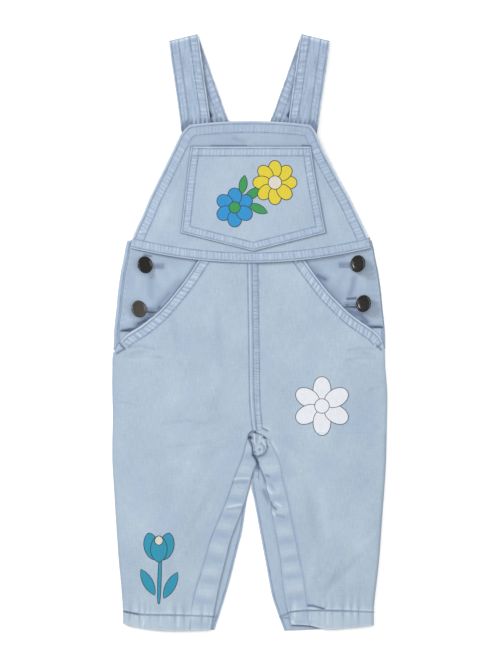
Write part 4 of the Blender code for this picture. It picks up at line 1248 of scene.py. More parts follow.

# %% [markdown]
# ## Hip facings
#
# The cloth seen inside each slanted pocket opening is flat but pulled: small creases run from the buttons,
# and it lies in the shade of the pocket edge, which is painted on it together with the creases' shade. Each
# button comes through a keyhole: an eyelet cut round its neck and a slit towards the centre line. Both are
# cut through the shell with a Boolean, then applied, and the slit is bound with close stitches.

# %% Facings: tables
FACING_BOTTOM_HEIGHT = {RIGHT: 0.2812, LEFT: 0.2840}
FACING_UNDER_LEG = 0.0110
EYELET_RADIUS = 0.0032
SLIT_LENGTH = 0.0170
SLIT_WIDTH = 0.0006
CUT_DEPTH = 0.0050
FACING_FOLDS = {
    RIGHT: [
        (-83, 331, 16, 7, 0.5, -35), (-104, 330, 18, 6, 0.5, 10), (-112, 293, 14, 4.5, 0.4, 75),
    ],
    LEFT: [
        (83, 333, 18, 6.5, 0.5, 30), (108, 330, 18, 5, 0.4, -15), (114, 318, 12, 3, 0.3, 80),
        (116, 305, 10, 3, 0.3, 84),
    ],
}
# Creases and shadows of the facings: painted shade, with a few painted highlights on ridges.
FACING_STROKES = {
    RIGHT: strokes_from(
        (3.4, -0.4, 0, 0.3, -93.5, 333, -92.5, 315),
        (4.2, -0.5, 0, 1, -106.2, 287.8, -98.5, 292.5, -91.5, 297.2),
        (2.6, 0, 0, 1.25, -105, 290, -99, 293), (2.6, -0.3, 0, 1.05, -94, 299, -89.5, 300.8, -85, 306),
        (1.4, -0.3, 0, 1.5, -97.5, 301.8, -92, 301, -87.2, 301.6),
        (1.8, 0.3, 0.12, 0, -115.3, 297.2, -109.7, 288.7),
        (2.2, -0.2, 0, 1.5, -120, 283.2, -114, 284.4, -106, 285.4),
        (1.3, -0.2, 0, 1.05, -99.5, 355.2, -93, 354), (2.4, 0.2, 0.1, 0, -76, 344, -70, 333),
        (4.4, 0, 0, 0.42, -89.8, 303.8, -79.4, 315.2, -66.1, 329.3),
        (2.2, 0, 0, 0.75, -86.8, 306.8, -76, 319),
    ),
    LEFT: strokes_from(
        (3.4, -0.2, 0, 0.98, 65, 335.6, 71.5, 332.2),
        (5, 0, 0, 0.46, 61.4, 341.9, 72.3, 323.2, 86.4, 306),
        (3, -0.4, 0, 0.6, 99, 333, 97.5, 324, 95, 317),
        (5.8, -0.3, 0, 0.38, 65.5, 332, 75, 322.5, 84, 315), (3.4, 0.3, 0.1, 0, 74, 339, 85, 333),
        (2.4, -0.4, 0, 1.5, 88.3, 304.7, 93.2, 306.9, 100, 306.2),
        (1.6, -0.3, 0, 1.3, 92.8, 313.8, 100.3, 314.3),
        (4.4, -0.5, 0, 0.95, 94.2, 302.4, 105.1, 298.5, 110.9, 292.1),
        (2.2, -0.3, 0, 1.4, 106.2, 292, 110.5, 286.8),
        (2.3, -0.2, 0, 1.5, 108.5, 287.4, 116, 287, 124.5, 286.6),
        (1.4, 0.3, 0.3, 0, 108.5, 299.8, 115, 293.5), (1, 0.2, 0.3, 0, 113, 339, 118, 340),
        (1, -0.2, 0, 0.25, 112, 332, 119, 333), (1, -0.2, 0, 0.3, 115, 310, 121, 310),
    ),
}
HOLE_ROW = 0.0019  # from a slit to the outer ends of its binding
BOUND_LIP = 0.0009  # from a slit to the middle of the stitches that bind a lip
LIP_PITCH, BAR_PITCH = 0.0005, 0.00045  # from one binding stitch to the next
LIP_STITCH, BAR_STITCH = (0.0013, 0.00042, 0.0003), (0.0012, 0.00042, 0.0003)
# Painted shade over each whole facing, which lies low inside the pocket opening, and the painted shadow of
# the pocket edge along the opening.
FACING_SHADE = {RIGHT: 0.11, LEFT: 0.16}
OPENING_SHADE = {RIGHT: (0.0022, 0.95), LEFT: (0.0030, 0.85)}  # reach, amount


def facing_outer(side, height):
    return back_outer(side, height) - FACING_INSET[side]


# %% Keyholes
def slit_of(place):
    """The height of a buttonhole's slit, and the x of its ends, at the eyelet and away from it."""
    centre = eyelet_centre(place)
    return centre.y + MIDDLE, centre.x, place.side * (place.out - SLIT_LENGTH)


def hole_strokes(places):
    """Painted shade along both sides of each slit, where its binding ends, and a soft painted shade over
    the slit.
    """
    strokes = []
    for place in places:
        height, start, end = slit_of(place)
        strokes.append(Stroke(((start, height), (end, height)), 0.0030, 0, 0, 0.28))
        lower = 1.1 if place.name == "lower" else 0.9
        for row, dark in ((height - HOLE_ROW, lower), (height + HOLE_ROW, 0.8)):
            strokes.append(Stroke(((start, row), (end, row)), 0.0010, -0.0002, 0, dark))
    return strokes


def bind_slit(bm, surface, place):
    """Close stitches across both lips of a slit, and a bar at its end."""
    height, start, end = slit_of(place)
    wanted = [
        ((x, height + lip), pi / 2, LIP_STITCH)
        for x in np.arange(min(start, end), max(start, end), LIP_PITCH)
        for lip in (-BOUND_LIP, BOUND_LIP)
    ]
    bar = np.arange(-HOLE_ROW, HOLE_ROW, BAR_PITCH)
    wanted += [((end, height + shift), 0, BAR_STITCH) for shift in bar]
    for spot, heading, size in wanted:
        found = cloth_under(surface, spot)
        if found:
            add_stitch(bm, *found, heading, size)


# %% Cutting the keyholes
def cut_keyholes(piece, places):
    """Cuts each button's eyelet and slit through the shell and applies all modifiers."""
    cutters = []
    for place in places:
        centre = eyelet_centre(place)
        _, start, end = slit_of(place)
        bm = bmesh.new()
        bmesh.ops.create_cone(
            bm, cap_ends=True, segments=32, radius1=EYELET_RADIUS, radius2=EYELET_RADIUS, depth=CUT_DEPTH
        )
        slit = bmesh.ops.create_cube(bm, size=1)["verts"]
        bmesh.ops.scale(bm, verts=slit, vec=(abs(end - start), SLIT_WIDTH, CUT_DEPTH * 0.9))
        bmesh.ops.translate(bm, verts=slit, vec=((end - start) / 2, 0, 0))
        bmesh.ops.translate(bm, verts=bm.verts, vec=centre)
        cutter = finish_piece(f"keyhole_{place.name}_{NAMES[place.side]}", bm, denim)
        cut = piece.modifiers.new(cutter.name, "BOOLEAN")
        cut.object = cutter
        cut.operation = "DIFFERENCE"
        cut.solver = "EXACT"
        cut.use_self = True
        cutters.append(cutter)
    bpy.context.view_layer.update()
    evaluated = piece.evaluated_get(bpy.context.evaluated_depsgraph_get())
    cut_mesh = bpy.data.meshes.new_from_object(evaluated)
    piece.modifiers.clear()
    piece.data = cut_mesh
    for cutter in cutters:
        bpy.data.objects.remove(cutter)


# %% Facings
def add_facing(side):
    bottom, top = FACING_BOTTOM_HEIGHT[side], WAIST_HEIGHT + WAIST_LAP
    buttons = [button for button in BUTTONS if button.side == side]

    def place(share, row):
        height = row.copy()
        for _ in range(SETTLING):
            inner, outer = front_outer(side, height) - FACING_UNDER_LEG, facing_outer(side, height)
            out = inner + (outer - inner) * share
            height = height_at(row, out, 0)
        return side * out, height, np.full(len(out), FACING_TOP)

    edge = edge_of(place, 1, np.linspace(bottom, top, 40))
    lower = edge_of(place, np.linspace(0, 1, 40), bottom)
    bands = [
        Band(edge, 0.0036, 0.0001, (), 0.0090, 0.00010, 0.2, 3.0),
        Band(lower, 0.0030, 0.0001, (), 0.0090, 0.00010, 0.2, 4.0),
    ]
    strokes = FACING_STROKES[side] + hole_strokes(buttons)

    def dress(points):
        look = together(seam_look(points, bands), crease_look(points, FACING_FOLDS[side], strokes))
        look[LIFT] += rumple(points, 0.013, 0.00016, 3.0 * side)
        # Painted shadows of the pocket edge and of the bib's lower edge, over the facing's uneven painted
        # shade.
        opening = beside(points, opening_lines[side], *OPENING_SHADE[side])
        waist = beside(points, bib_waist, 0.0010, 0.25)
        shade = FACING_SHADE[side] + rumple(points, 0.018, 0.20, 7.0 * side) * (1 - look[WEAR_AND_HIGHLIGHT])
        look[DARK] = 1 - (1 - look[DARK]) * (1 - np.clip(shade, 0, 1)) * (1 - opening) * (1 - waist)
        at_least(look, BLUE, 0.30)
        return look

    name = f"cloth_hip_facing_{NAMES[side]}"
    columns, rows = spread_steps((0, 1, 112)), spread_steps((bottom, top, 106))
    piece = lay_out(name, columns, rows, place, dress, turned=side == RIGHT)
    cut_keyholes(piece, buttons)
    bm = bmesh.new()
    for button in buttons:
        bind_slit(bm, surfaces[name], button)
    declare(name, f"hip_facing_{NAMES[side]}", (0.0960, 0.0900), [finish_thread(name, bm)])


for side in (RIGHT, LEFT):
    add_facing(side)

# %% [markdown]
# ## Front legs
#
# The front of each leg is one broad panel. It lies over the facing at the slanted pocket edge, meets its
# twin in a felled centre seam, and rolls down over the side. Its creases are soft troughs and ridges: they
# fan out from the crotch and run down the shins.

# %% Creases of the legs
# The creases of the legs get painted shade in their troughs and painted highlight on their ridges.
LEG_CREASES = [
    (-30, 170, 30, 5, -0.3, 62), (-38, 180, 34, 6, 0.3, 60), (-40, 196, 34, 5, -0.3, 70),
    (-30, 218, 40, 8, -0.3, 20), (-70, 285, 40, 6, -0.4, -8), (-28, 280, 50, 6, -0.4, -4),
    (-46, 110, 50, 7, -0.5, 26), (-52, 94, 45, 6, 0.4, 30), (-75, 60, 40, 9, -0.4, -16),
    (-106, 262, 16, 3.5, -0.6, 82), (-100, 257, 20, 3.5, 0.4, 78), (36, 176, 22, 5, -0.3, -58),
    (44, 160, 26, 6, 0.3, -34), (35, 155, 20, 4, -0.4, -12), (60, 106, 44, 7.5, -0.6, -10),
    (72, 108, 40, 7, 0.5, -8), (92, 60, 36, 7, -0.8, 42), (99, 70, 34, 6, 0.6, 42),
    (78, 46, 30, 6, -0.4, 30), (60, 60, 30, 6, 0.4, 8), (108, 262, 16, 3.5, -0.6, -80),
    (102, 256, 20, 3.5, 0.4, -76), (30, 300, 30, 6, -0.3, 6), (86, 190, 50, 10, -0.3, 12),
]
# Painted shade in sharp creases and under edges; the hem's pale ridges are wear and painted highlight.
LEG_STROKES = {
    RIGHT: strokes_from(
        (1, -0.4, 0, 1.3, -122.8, 272.2, -121, 269.8, -118.4, 267.2),
        (1.2, -0.2, 0, 1.05, -117.6, 266.4, -121.5, 264.5, -125.5, 262.2),
        (1.2, -0.3, 0, 1.1, -118.5, 18.4, -110, 16.6, -104.9, 15.7),
        (1.2, 0.2, 0.5, 0, -111, 15, -112, 7), (1.3, 0.3, 0.7, 0, -98.5, 14.8, -100, 5),
        (1.2, 0.2, 0.5, 0, -83.5, 14.5, -84.5, 5), (1.2, 0.2, 0.6, 0, -67, 14.2, -67.5, 4),
        (1.6, -0.3, 0, 0.26, -116, 267.2, -102, 269.2, -90, 266.2),
        (1.8, -0.3, 0, 0.16, -119, 258.8, -98, 260, -83, 258),
        (1.3, -0.2, 0, 0.15, -81, 195.5, -60, 198.5, -37, 194.5),
        (1.5, -0.2, 0, 0.13, -77, 174, -55, 175.5, -38, 179),
        (1.3, -0.2, 0, 0.14, -123, 216, -113, 215, -106, 212),
        (0.9, 0, 0, 1.25, -1.2, 184.2, 0.1, 186.8, 2, 188.3, 4.2, 188.8),
        (1.1, 0, 0, 1.6, -1, 183.3, -0.2, 182.9),
    ),
    LEFT: strokes_from(
        (1, -0.4, 0, 1.1, 120.6, 269.6, 122.6, 267.6, 124.8, 265.6),
        (1.1, -0.2, 0, 0.9, 124.7, 272, 123, 269.8, 120.6, 268),
        (1.6, -0.3, 0, 0.22, 117, 266, 104, 267.2, 94, 265),
        (1.8, -0.3, 0, 0.14, 120, 258, 106, 258.5, 93, 256),
        (1.3, -0.2, 0, 0.14, 123, 230, 115, 228, 109, 224), (1.3, 0.3, 0.7, 0, 44, 16.8, 45.2, 9),
        (1.2, 0.2, 0.6, 0, 57.5, 16.5, 56.2, 7), (1.2, 0.2, 0.4, 0, 73.5, 16, 74.2, 6),
        (1.2, 0.2, 0.4, 0, 96, 16.5, 96.8, 7), (1, -0.4, 0, 1, 12.8, 191.2, 17, 189),
        (1, 0.3, 0.4, 0, 10.4, 193.6, 18.5, 190.5), (1.2, 0.2, 0.4, 0, 21.5, 178.5, 26.2, 170),
        (1.2, -0.6, 0, 1.2, 48, 23.9, 60, 23.6, 70.4, 20.8), (1.5, 0.5, 0.65, 0, 48, 21.2, 64, 20.5),
    ),
}
LEG_BLUE = {RIGHT: 0.02, LEFT: -0.05}
POCKET_BAND = 0.0104
FELL_BAND = 0.0078
CROTCH_HEIGHT, CENTRE_TOP_HEIGHT = 0.1885, 0.3600  # ends of the centre seam
INSEAM_TOP_HEIGHT = 0.1820


def front_bands(side):
    """The seam bands of one front leg: at the opening, the inseam and the centre."""
    seed = 1.0 + side
    opening = opening_lines[side]
    inseam = upright_line(side, front_inner, 0.0, INSEAM_TOP_HEIGHT)
    centre = upright_line(side, front_inner, CROTCH_HEIGHT, CENTRE_TOP_HEIGHT)
    felled = Band(centre, FELL_BAND, 0.00035, (0.0016, 0.0070), 0.0040, 0.00020, 0.1, 6.0, 0.30)
    covered = Band(centre, 0.0028, 0.00010, (0.0024,), 0.0080, 0.0, 0, 6.0, 0.5)
    return [
        Band(opening, POCKET_BAND, 0.00040, (0.0019, 0.0092), 0.0066, 0.00026, 0.35 * side, seed, 0.75),
        Band(inseam, 0.0030, 0.0001, (), 0.0175, 0.0, 0, 2.0, 0.0),
        felled if side == LEFT else covered,
    ]


# %% Hems
HEM_PUFF = 0.0006  # of the leg above the stitch line, and depth of the line's groove
HEM_PUCKER, HEM_PUCKER_PITCH = 0.00020, 0.0094
# out, height of the stitch line
HEM_STITCH = {
    RIGHT: metres((30.1, 13.1), (69.5, 14.6), (103.8, 15.4), (118.6, 17.8)),
    LEFT: metres((28.7, 11.8), (38.6, 17.5), (69.5, 19.1), (118.3, 17.5)),
}


def hem_stitch(side, out):
    return smooth(HEM_STITCH[side], out)[1]


def sew_hem(bm, surface, side, out):
    sew_row(bm, surface, np.column_stack([side * out, hem_stitch(side, out)]), 0)


def hem_look(points, side):
    """The casing of the hem: the leg puffs over its stitch line and puckers run down from it. The puff, the
    folded edge and the pucker crests are paler, part wear and part painted highlight; the stitch line's
    groove and the hollows get painted shade.
    """
    x, height = points.T
    above = height - hem_stitch(side, side * x)
    below = above < 0
    wave = np.cos(2 * pi * (x / HEM_PUCKER_PITCH + 0.75 * wobble(4.0 + side, x, 0.014)))
    deep = 0.5 + 0.5 * wobble(9.0 + side, x, 0.012)
    near = np.where(below, np.exp(above / 0.009), np.exp(-above / 0.007))
    look = blank_look(points)
    look[LIFT] = HEM_PUFF * np.exp(-(((above - 0.0022) / 0.0020) ** 2))
    look[LIFT] -= HEM_PUFF * np.exp(-((above / 0.0007) ** 2))
    look[LIFT] += HEM_PUCKER * wave * near * (np.abs(above) > 0.0005)
    fold = np.exp(-(((height - hem_edge(side, side * x, FRONT)) / 0.0012) ** 2))
    look[WEAR_AND_HIGHLIGHT] = np.maximum(0.60 * np.exp(-(((above - 0.0017) / 0.0009) ** 2)), 0.80 * fold)
    at_least(look, WEAR_AND_HIGHLIGHT, 0.80 * np.clip(wave, 0, 1) ** 2 * near * deep)
    at_least(look, WEAR_AND_HIGHLIGHT, 0.16 * below)
    line = 0.85 + 0.35 * wobble(3.0 + side, x, 0.021)
    hollow = 0.60 * np.clip(-wave, 0, 1) ** 3 * near * np.clip(deep + 0.3, 0, 1)
    look[DARK] = np.maximum(line * np.exp(-((above / 0.0008) ** 2)), hollow)
    look[WEAR_AND_HIGHLIGHT] *= 1 - np.clip(look[DARK], 0, 1)
    look[BLUE] = 0.20 * near
    return look


# %% The look of a front leg
# Painted shade on the rolled side edge and along the centre seam.
ROLL_SHADE = {RIGHT: 0.26, LEFT: 0.16}
CENTRE_SHADE = {RIGHT: 0.10, LEFT: 0.35}


def leg_dress(side, bands):
    _, inseam, centre = (band.line for band in bands)
    rim = upright_line(side, front_outer, 0.0, 0.2660)

    def dress(points):
        crease = crease_look(points, LEG_CREASES, LEG_STROKES[side])
        look = together(seam_look(points, bands), hem_look(points, side), crease)
        look[LIFT] += rumple(points, 0.030, 0.00028, 11.0) + rumple(points, 0.009, 0.00006, 17.0)
        # Painted shade along the inseam, the rolled side and the centre seam, and painted shadow under the
        # bib's lower edge.
        shade = beside(points, inseam, 0.0012, 0.30) + beside(points, bib_waist, 0.0011, 0.60)
        shade += beside(points, rim, 0.0024, ROLL_SHADE[side])
        shade += beside(points, centre, 0.0005, CENTRE_SHADE[side])
        at_least(look, DARK, np.clip(shade, 0, 0.8))
        drift = rumple(points * (1.5, 0.8), 0.035, 0.50, 23.0)
        at_least(look, BLUE, np.clip(LEG_BLUE[side] + drift, 0, 0.26))
        return look

    return dress


# %% Front legs
SEAM_LAP = 0.0005  # of the lower cloth, under the one above it
LAP_DIP, LAP_DIP_REACH = 0.0003, 0.0006  # how the lower cloth dips at the lap


def add_front_leg(side):
    lap = SEAM_LAP if side == RIGHT else 0.0

    def place(column, row):
        share, roll = np.clip(column, 0, 1), np.clip(column - 1, 0, 1)
        from_side = ROLL_REACH * (1 - np.sin(roll * pi / 2))
        height = row.copy()
        for _ in range(SETTLING):
            inner = front_inner(side, height) - lap * (height > CROTCH_HEIGHT)
            steady = steady_inner(side, height)
            outer = front_outer(side, height) - np.where(column > 1, from_side, ROLL_REACH)
            out = np.where(column > 1, outer, steady + (outer - steady) * share)
            out += (inner - steady) * (1 - share) ** 8
            height = height_at(row, out, hem_edge(side, out, FRONT))
        top = front_top(side, out, height)
        top -= LAP_DIP * np.exp(-(((out - inner) / LAP_DIP_REACH) ** 2)) * (lap > 0)
        return side * out, height, top

    def warp(column, row):
        x, height, _ = place(column, row)
        return x + side * np.clip(column - 1, 0, 1) * 0.003, height

    columns = spread_steps((0, 0.10, 24), (0.10, 0.72, 34), (0.72, 1.0, 54), (1.0, 2.0, 8))
    rows = spread_steps(
        (0, 0.030, 36), (0.030, 0.180, 92), (0.180, 0.192, 12), (0.192, 0.262, 62),
        (0.262, WAIST_HEIGHT + WAIST_LAP, 92),
    )
    name = f"cloth_front_leg_{NAMES[side]}"
    bands = front_bands(side)
    dress = leg_dress(side, bands)
    lay_out(name, columns, rows, place, dress, turned=side == RIGHT, grain=warp)
    bm = bmesh.new()
    for band in bands:
        for row in band.rows:
            sew_row(bm, surfaces[name], band.line, row)
    sew_hem(bm, surfaces[name], side, np.linspace(0.036, 0.118, 50))
    stitches = finish_thread(name, bm)
    flowers = add_print(f"print_leg_{NAMES[side]}", surfaces[name], LEG_PRINTS[side])
    declare(name, f"front_leg_{NAMES[side]}", (0.1370, 0.3610), [stitches, flowers])


# %% Plackets
PUCKER_PITCH, PUCKER_LIFT = 0.0195, 0.00034
FREE_DIP, FREE_DIP_REACH = 0.0004, 0.0030  # how the free edge dips
PLACKET_LENGTH = 0.190
# Kinks and creases of the plackets: painted shade in the folds, painted highlight on the ridges.
PLACKET_STROKES = {
    RIGHT: strokes_from(
        (1.2, 0, 0, 1.1, -0.9, 181.5, 1.5, 177.2, 3, 172.5, 3, 167),
        (1.7, -0.6, 0, 1.45, 3.5, 166.2, 6.2, 162.6, 7.8, 158),
        (1, 0.3, 0.75, 0, -18.5, 141.8, -11, 144.1, -1, 144),
        (1.4, -0.3, 0, 0.4, -18.5, 139.5, -2, 140.5), (1, 0.3, 0.65, 0, -20, 117, -8, 119.2),
        (1.3, -0.3, 0, 0.35, -20.5, 114.5, -7, 116),
    ),
    LEFT: strokes_from(
        (1.2, 0, 0, 1.05, 16.6, 174.7, 14.4, 169.7, 9.8, 166.1),
        (1.7, -0.6, 0, 1.45, 3.5, 166.2, 6.2, 162.6, 7.8, 158),
        (1.2, -0.3, 0, 0.8, 15.8, 146.8, 18.4, 145.6),
        (1.1, 0.4, 0.7, 0, 16.5, 135.5, 18, 133, 21.2, 129.5), (1.2, -0.2, 0, 0.45, 20, 138.5, 23.5, 133),
        (1.3, -0.4, 0, 0.95, 20.3, 121.2, 21.5, 118, 25, 114.8), (1.3, 0.3, 0.9, 0, 40.5, 8.8, 43.2, 5.2),
        (1.2, 0.3, 0.55, 0, 25, 121, 30, 117.5), (1, 0.3, 0.7, 0, 21.5, 112, 25, 108.5),
        (1.6, -0.3, 0, 0.45, 26, 109, 33, 107),
    ),
}


# %% Making the plackets
def add_placket(side):
    """The popper placket: hidden poppers draw it into even puckers."""

    def place(share, row):
        height = row.copy()
        for _ in range(SETTLING):
            inner, outer = placket_free(side, height), front_inner(side, height) + SEAM_LAP
            out = inner + (outer - inner) * share
            height = height_at(row, out, hem_edge(side, out, FRONT))
        top = front_top(side, out, height) - 0.00014 * ease(-0.0008, 0.0003, out - outer + SEAM_LAP)
        return side * out, height, top - FREE_DIP * np.exp(-(((out - inner) / FREE_DIP_REACH) ** 2))

    free = upright_line(side, placket_free, 0.0, PLACKET_TOP_HEIGHT)
    seam = upright_line(side, front_inner, 0.0, INSEAM_TOP_HEIGHT)
    bands = [Band(free, 0.0022, 0.0001, (), PUCKER_PITCH, 0.0, 0, 3.0, 0.0)]

    def dress(points):
        x, height = points.T
        inner, outer = placket_free(side, height), front_inner(side, height)
        across = np.clip((outer - side * x) / (outer - inner), 0, 1)
        phase = height / PUCKER_PITCH + 0.20 * wobble(2.0 + side, height, 0.03) + 0.14 * across
        wave, ridge = np.cos(2 * pi * phase), np.cos(2 * pi * phase + 0.9)
        high, low = np.clip(wave, 0, 1), np.clip(-wave, 0, 1)
        fade = np.sin(pi * np.clip(across, 0.03, 0.97)) ** 0.5
        look = together(seam_look(points, bands), hem_look(points, side))
        look = together(look, crease_look(points, (), PLACKET_STROKES[side]))
        look[LIFT] += PUCKER_LIFT * wave * fade + rumple(points, 0.008, 0.0001, 5.0)
        # Pucker crests are paler, part wear and part painted highlight; the hollows are bluer with painted
        # shade, and painted shade runs along the seam.
        at_least(look, WEAR_AND_HIGHLIGHT, 0.22 * high**4 * fade)
        at_least(look, WEAR_AND_HIGHLIGHT, 0.24 * np.clip(ridge, 0, 1) ** 14 * fade)
        at_least(look, BLUE, 0.10 + 0.36 * low**1.5 * fade)
        at_least(look, DARK, 0.16 * low**2 * fade)
        at_least(look, DARK, beside(points, seam, 0.0010, 0.25))
        return look

    columns = spread_steps((0, 0.25, 10), (0.25, 0.85, 12), (0.85, 1, 8))
    rows = spread_steps((0, 0.022, 28), (0.022, 0.110, 74), (0.110, PLACKET_TOP_HEIGHT, 90))
    name = f"cloth_placket_{NAMES[side]}"
    lay_out(name, columns, rows, place, dress, turned=side == RIGHT)
    bm = bmesh.new()
    sew_hem(bm, surfaces[name], side, np.linspace(0.024, 0.060, 30))
    width = shells[name][1] / PLACKET_LENGTH * 1.05
    flat = (width, PLACKET_LENGTH)
    declare(name, f"inseam_placket_{NAMES[side]}", flat, [finish_thread(name, bm)])


for side in (RIGHT, LEFT):
    add_placket(side)
    add_front_leg(side)

# %% [markdown]
# ## Straps
#
# Each strap is one strip of doubled cloth with four rows of thread. It comes up from the back
# bib, turns over in a flat fold and goes down under the front bib. Its sections are placed
# along that route, so the strip bends as one piece of cloth does, and its UV map follows it.

# %% Strap route
STRAP_WIDTH = 0.0280
STRAP_FOLD_OUT = 0.0620
STRAP_FOLD_HEIGHT = 0.5589
STRAP_FRONT_LEAN = 8
STRAP_BACK_LEAN = 19.5
STRAP_SKEW_REACH = 0.0240
STRAP_FRONT_LIFT = STRAP_WALL + LAY_GAP
STRAP_BACK_LIFT = BACK_TOP + LAY_GAP
FOLD_RADIUS = (STRAP_FRONT_LIFT + STRAP_WALL) / 2
HALF_TURN = FOLD_RADIUS * pi / 2
# distance from the fold, droop of the outer edge
STRAP_FRONT_DROOP = metres((3, 0), (20, 0.2), (45, 0.9), (65, 0.8), (78, 0.3), (100, 0))
STRAP_FRONT_REACH = 0.1000
STRAP_BACK_REACH = 0.1400
STRAP_BACK_LIFTS = ((0.1140, 0.0), (0.1220, STRAP_BACK_LIFT))


def strap_section(travel):
    """Out, height, slant, z and droop at a travel along the strap.

    The travel is 0 in the middle of the fold, positive down the front and negative down the back.
    """
    fold_slant = (STRAP_FRONT_LEAN + STRAP_BACK_LEAN) / 2
    if abs(travel) <= HALF_TURN:
        angle = travel / FOLD_RADIUS
        past = FOLD_RADIUS * cos(angle)
        out = STRAP_FOLD_OUT + past * sin(radians(fold_slant))
        height = STRAP_FOLD_HEIGHT + past * cos(radians(fold_slant))
        return out, height, fold_slant, FOLD_RADIUS * (1 + sin(angle)), 0.0
    front = travel > 0
    lean = STRAP_FRONT_LEAN if front else STRAP_BACK_LEAN
    down = abs(travel) - HALF_TURN
    slant = fold_slant + (lean - fold_slant) * min(down / STRAP_SKEW_REACH, 1)
    out = STRAP_FOLD_OUT - down * sin(radians(lean))
    height = STRAP_FOLD_HEIGHT - down * cos(radians(lean))
    if front:
        droop = float(smooth(STRAP_FRONT_DROOP, down)[1])
        return out, height, slant, STRAP_FRONT_LIFT + STRAP_WALL, droop
    return out, height, slant, float(np.interp(down, *zip(*STRAP_BACK_LIFTS))), 0.0


# %% Straps
STRAP_ROWS = (0.0015, 0.0086)
GATHER_PITCH = 0.0042
# travel where the thread starts and ends, and whether it is on the strap's underside
STRAP_RUNS = ((0.0045, 0.0930, False), (-0.0045, -0.0950, False), (-0.0045, -0.1120, True))
# out and height of the ends of two short painted shadows: in the gap between the strap's two stretches, and
# at its outer corner above the bib
BACK_GAP_SHADOW = ((0.0366, 0.4872), (0.0392, 0.4905))
FRONT_CORNER = ((0.0640, 0.4735), (0.0590, 0.4790))


def strap_place(side):
    def place(across, travel):
        sections = {value: strap_section(value) for value in np.unique(travel)}
        out, height, slant, z, droop = np.array([sections[value] for value in travel]).T
        reach = across * STRAP_WIDTH / 2
        slant = np.radians(slant)
        x = side * (out + reach * np.cos(slant))
        return x, height - reach * np.sin(slant), z - droop * np.clip(across, 0, 1)

    return place


# %% The look of a strap
def strap_dress(side, known):
    """The strap's look; known holds where each point is on the flat strip."""
    right, left = (
        np.column_stack([np.full(60, end * STRAP_WIDTH / 2), np.linspace(-0.15, 0.11, 60)])
        for end in (-1, 1)
    )
    bands = [
        Band(right, 0.0098, 0.0002, STRAP_ROWS, 0.0078, 0.00026, 0.2, 3.0 + side, 1.0),
        Band(left, 0.0092, 0.0002, STRAP_ROWS, 0.0070, 0.00010, 0.2, 9.0 + side, 0.45),
    ]
    inner_edge = edge_of(strap_place(side), -1, np.linspace(HALF_TURN, 0.095, 40))
    fold_end = np.array([(-1, HALF_TURN), (1, HALF_TURN)])
    gap_shadow, corner = np.array(BACK_GAP_SHADOW) * (side, 1), np.array(FRONT_CORNER) * (side, 1)

    def dress(points):
        flat = known["flat"]
        travel = flat[:, 1]
        at_back = travel <= 0
        look = seam_look(flat, bands)
        look[LIFT] += rumple(flat, 0.012, 0.00018, 21.0 * side)
        streak = rumple(flat * (7.0, 0.7), 0.012, 0.50, 31.0) + rumple(flat * (4.0, 3.0), 0.010, 0.20, 33.0)
        # A pale line along the fold: wear and painted highlight.
        look[WEAR_AND_HIGHLIGHT] = np.maximum(look[WEAR_AND_HIGHLIGHT] + 0.1 * streak, beside(flat, fold_end, 0.0012, 0.8))
        # Painted shadow just above the bib's edge, where the strap goes under it, broken by the gathers.
        near_bib = beside(points, bib_outline, 0.0048, 1.0)
        gather = np.cos(2 * pi * (flat[:, 0] / GATHER_PITCH + 0.4 * wobble(1.0 + side, travel, 0.01)))
        look[LIFT] += 0.00022 * gather * near_bib
        blotch = rumple(flat, 0.0045, 0.50, 37.0) * at_back
        # Darker overall and in random streaks and blotches, plus the bib's painted shadow and a painted
        # shadow at the outer corner.
        shade = 0.17 + streak + blotch + 1.2 * near_bib * (0.55 - 0.45 * gather)
        shade += beside(points, corner, 0.0030, 0.9)
        # Painted shadow on the back stretch under the front stretch's inner edge, and in the gap between
        # the stretches.
        under = beside(points, inner_edge, 0.0026, 0.60) * at_back
        under += beside(points, gap_shadow, 0.0016, 1.6) * at_back
        look[DARK] = 1 - (1 - look[DARK]) * (1 - np.clip(shade, 0, 0.9)) * (1 - np.clip(under, 0, 0.8))
        look[DARK] += np.clip(under - 0.8, 0, 0.5)
        at_least(look, BLUE, 0.35)
        look[LIFT] *= travel >= HALF_TURN
        return look

    return dress


# %% Making the straps
def add_strap(side):
    travels = spread_steps(
        (-STRAP_BACK_REACH - HALF_TURN, -HALF_TURN, 150), (-HALF_TURN, HALF_TURN, 14),
        (HALF_TURN, STRAP_FRONT_REACH + HALF_TURN, 120),
    )
    place = strap_place(side)
    known = {}

    def warp(across, travel):
        return across * STRAP_WIDTH / 2, travel

    def place_and_note(across, travel):
        known["flat"] = np.column_stack(warp(across, travel))
        return place(across, travel)

    columns = spread_steps((-1, -0.2, 24), (-0.2, 0.3, 8), (0.3, 1, 22))
    name = f"cloth_strap_{NAMES[side]}"
    dress = strap_dress(side, known)
    lay_out(name, columns, travels, place_and_note, dress, STRAP_WALL, turned=side == LEFT, grain=warp)
    bm = bmesh.new()
    for start, end, under in STRAP_RUNS:
        run = np.linspace(start, end, 70)
        for row in STRAP_ROWS:
            for edge in (-1, 1):
                x, height, z = place(np.full(70, edge * (1 - row / (STRAP_WIDTH / 2))), run)
                level = float(z[20]) if start > 0 else 0.0
                wall = -STRAP_WALL if start < 0 and not under else 0.0
                line = np.column_stack([x, height])
                sew_row(bm, surfaces[name], line, 0.0, level=level, wall=wall, under=under)
    stitches = finish_thread(name, bm)
    declare(name, f"strap_{NAMES[side]}", (STRAP_WIDTH, 0.2490), [stitches])


for side in (RIGHT, LEFT):
    add_strap(side)

# %% [markdown]
# ## Bib and pocket
#
# The bib has turned hems at its top and sides, and a felled waist seam. The patch pocket is
# one piece with a hemmed mouth, sewn down twice along its sides and its pointed lower edge.
# Both are grids that follow their own edges, so the seam bands run parallel to the cut.

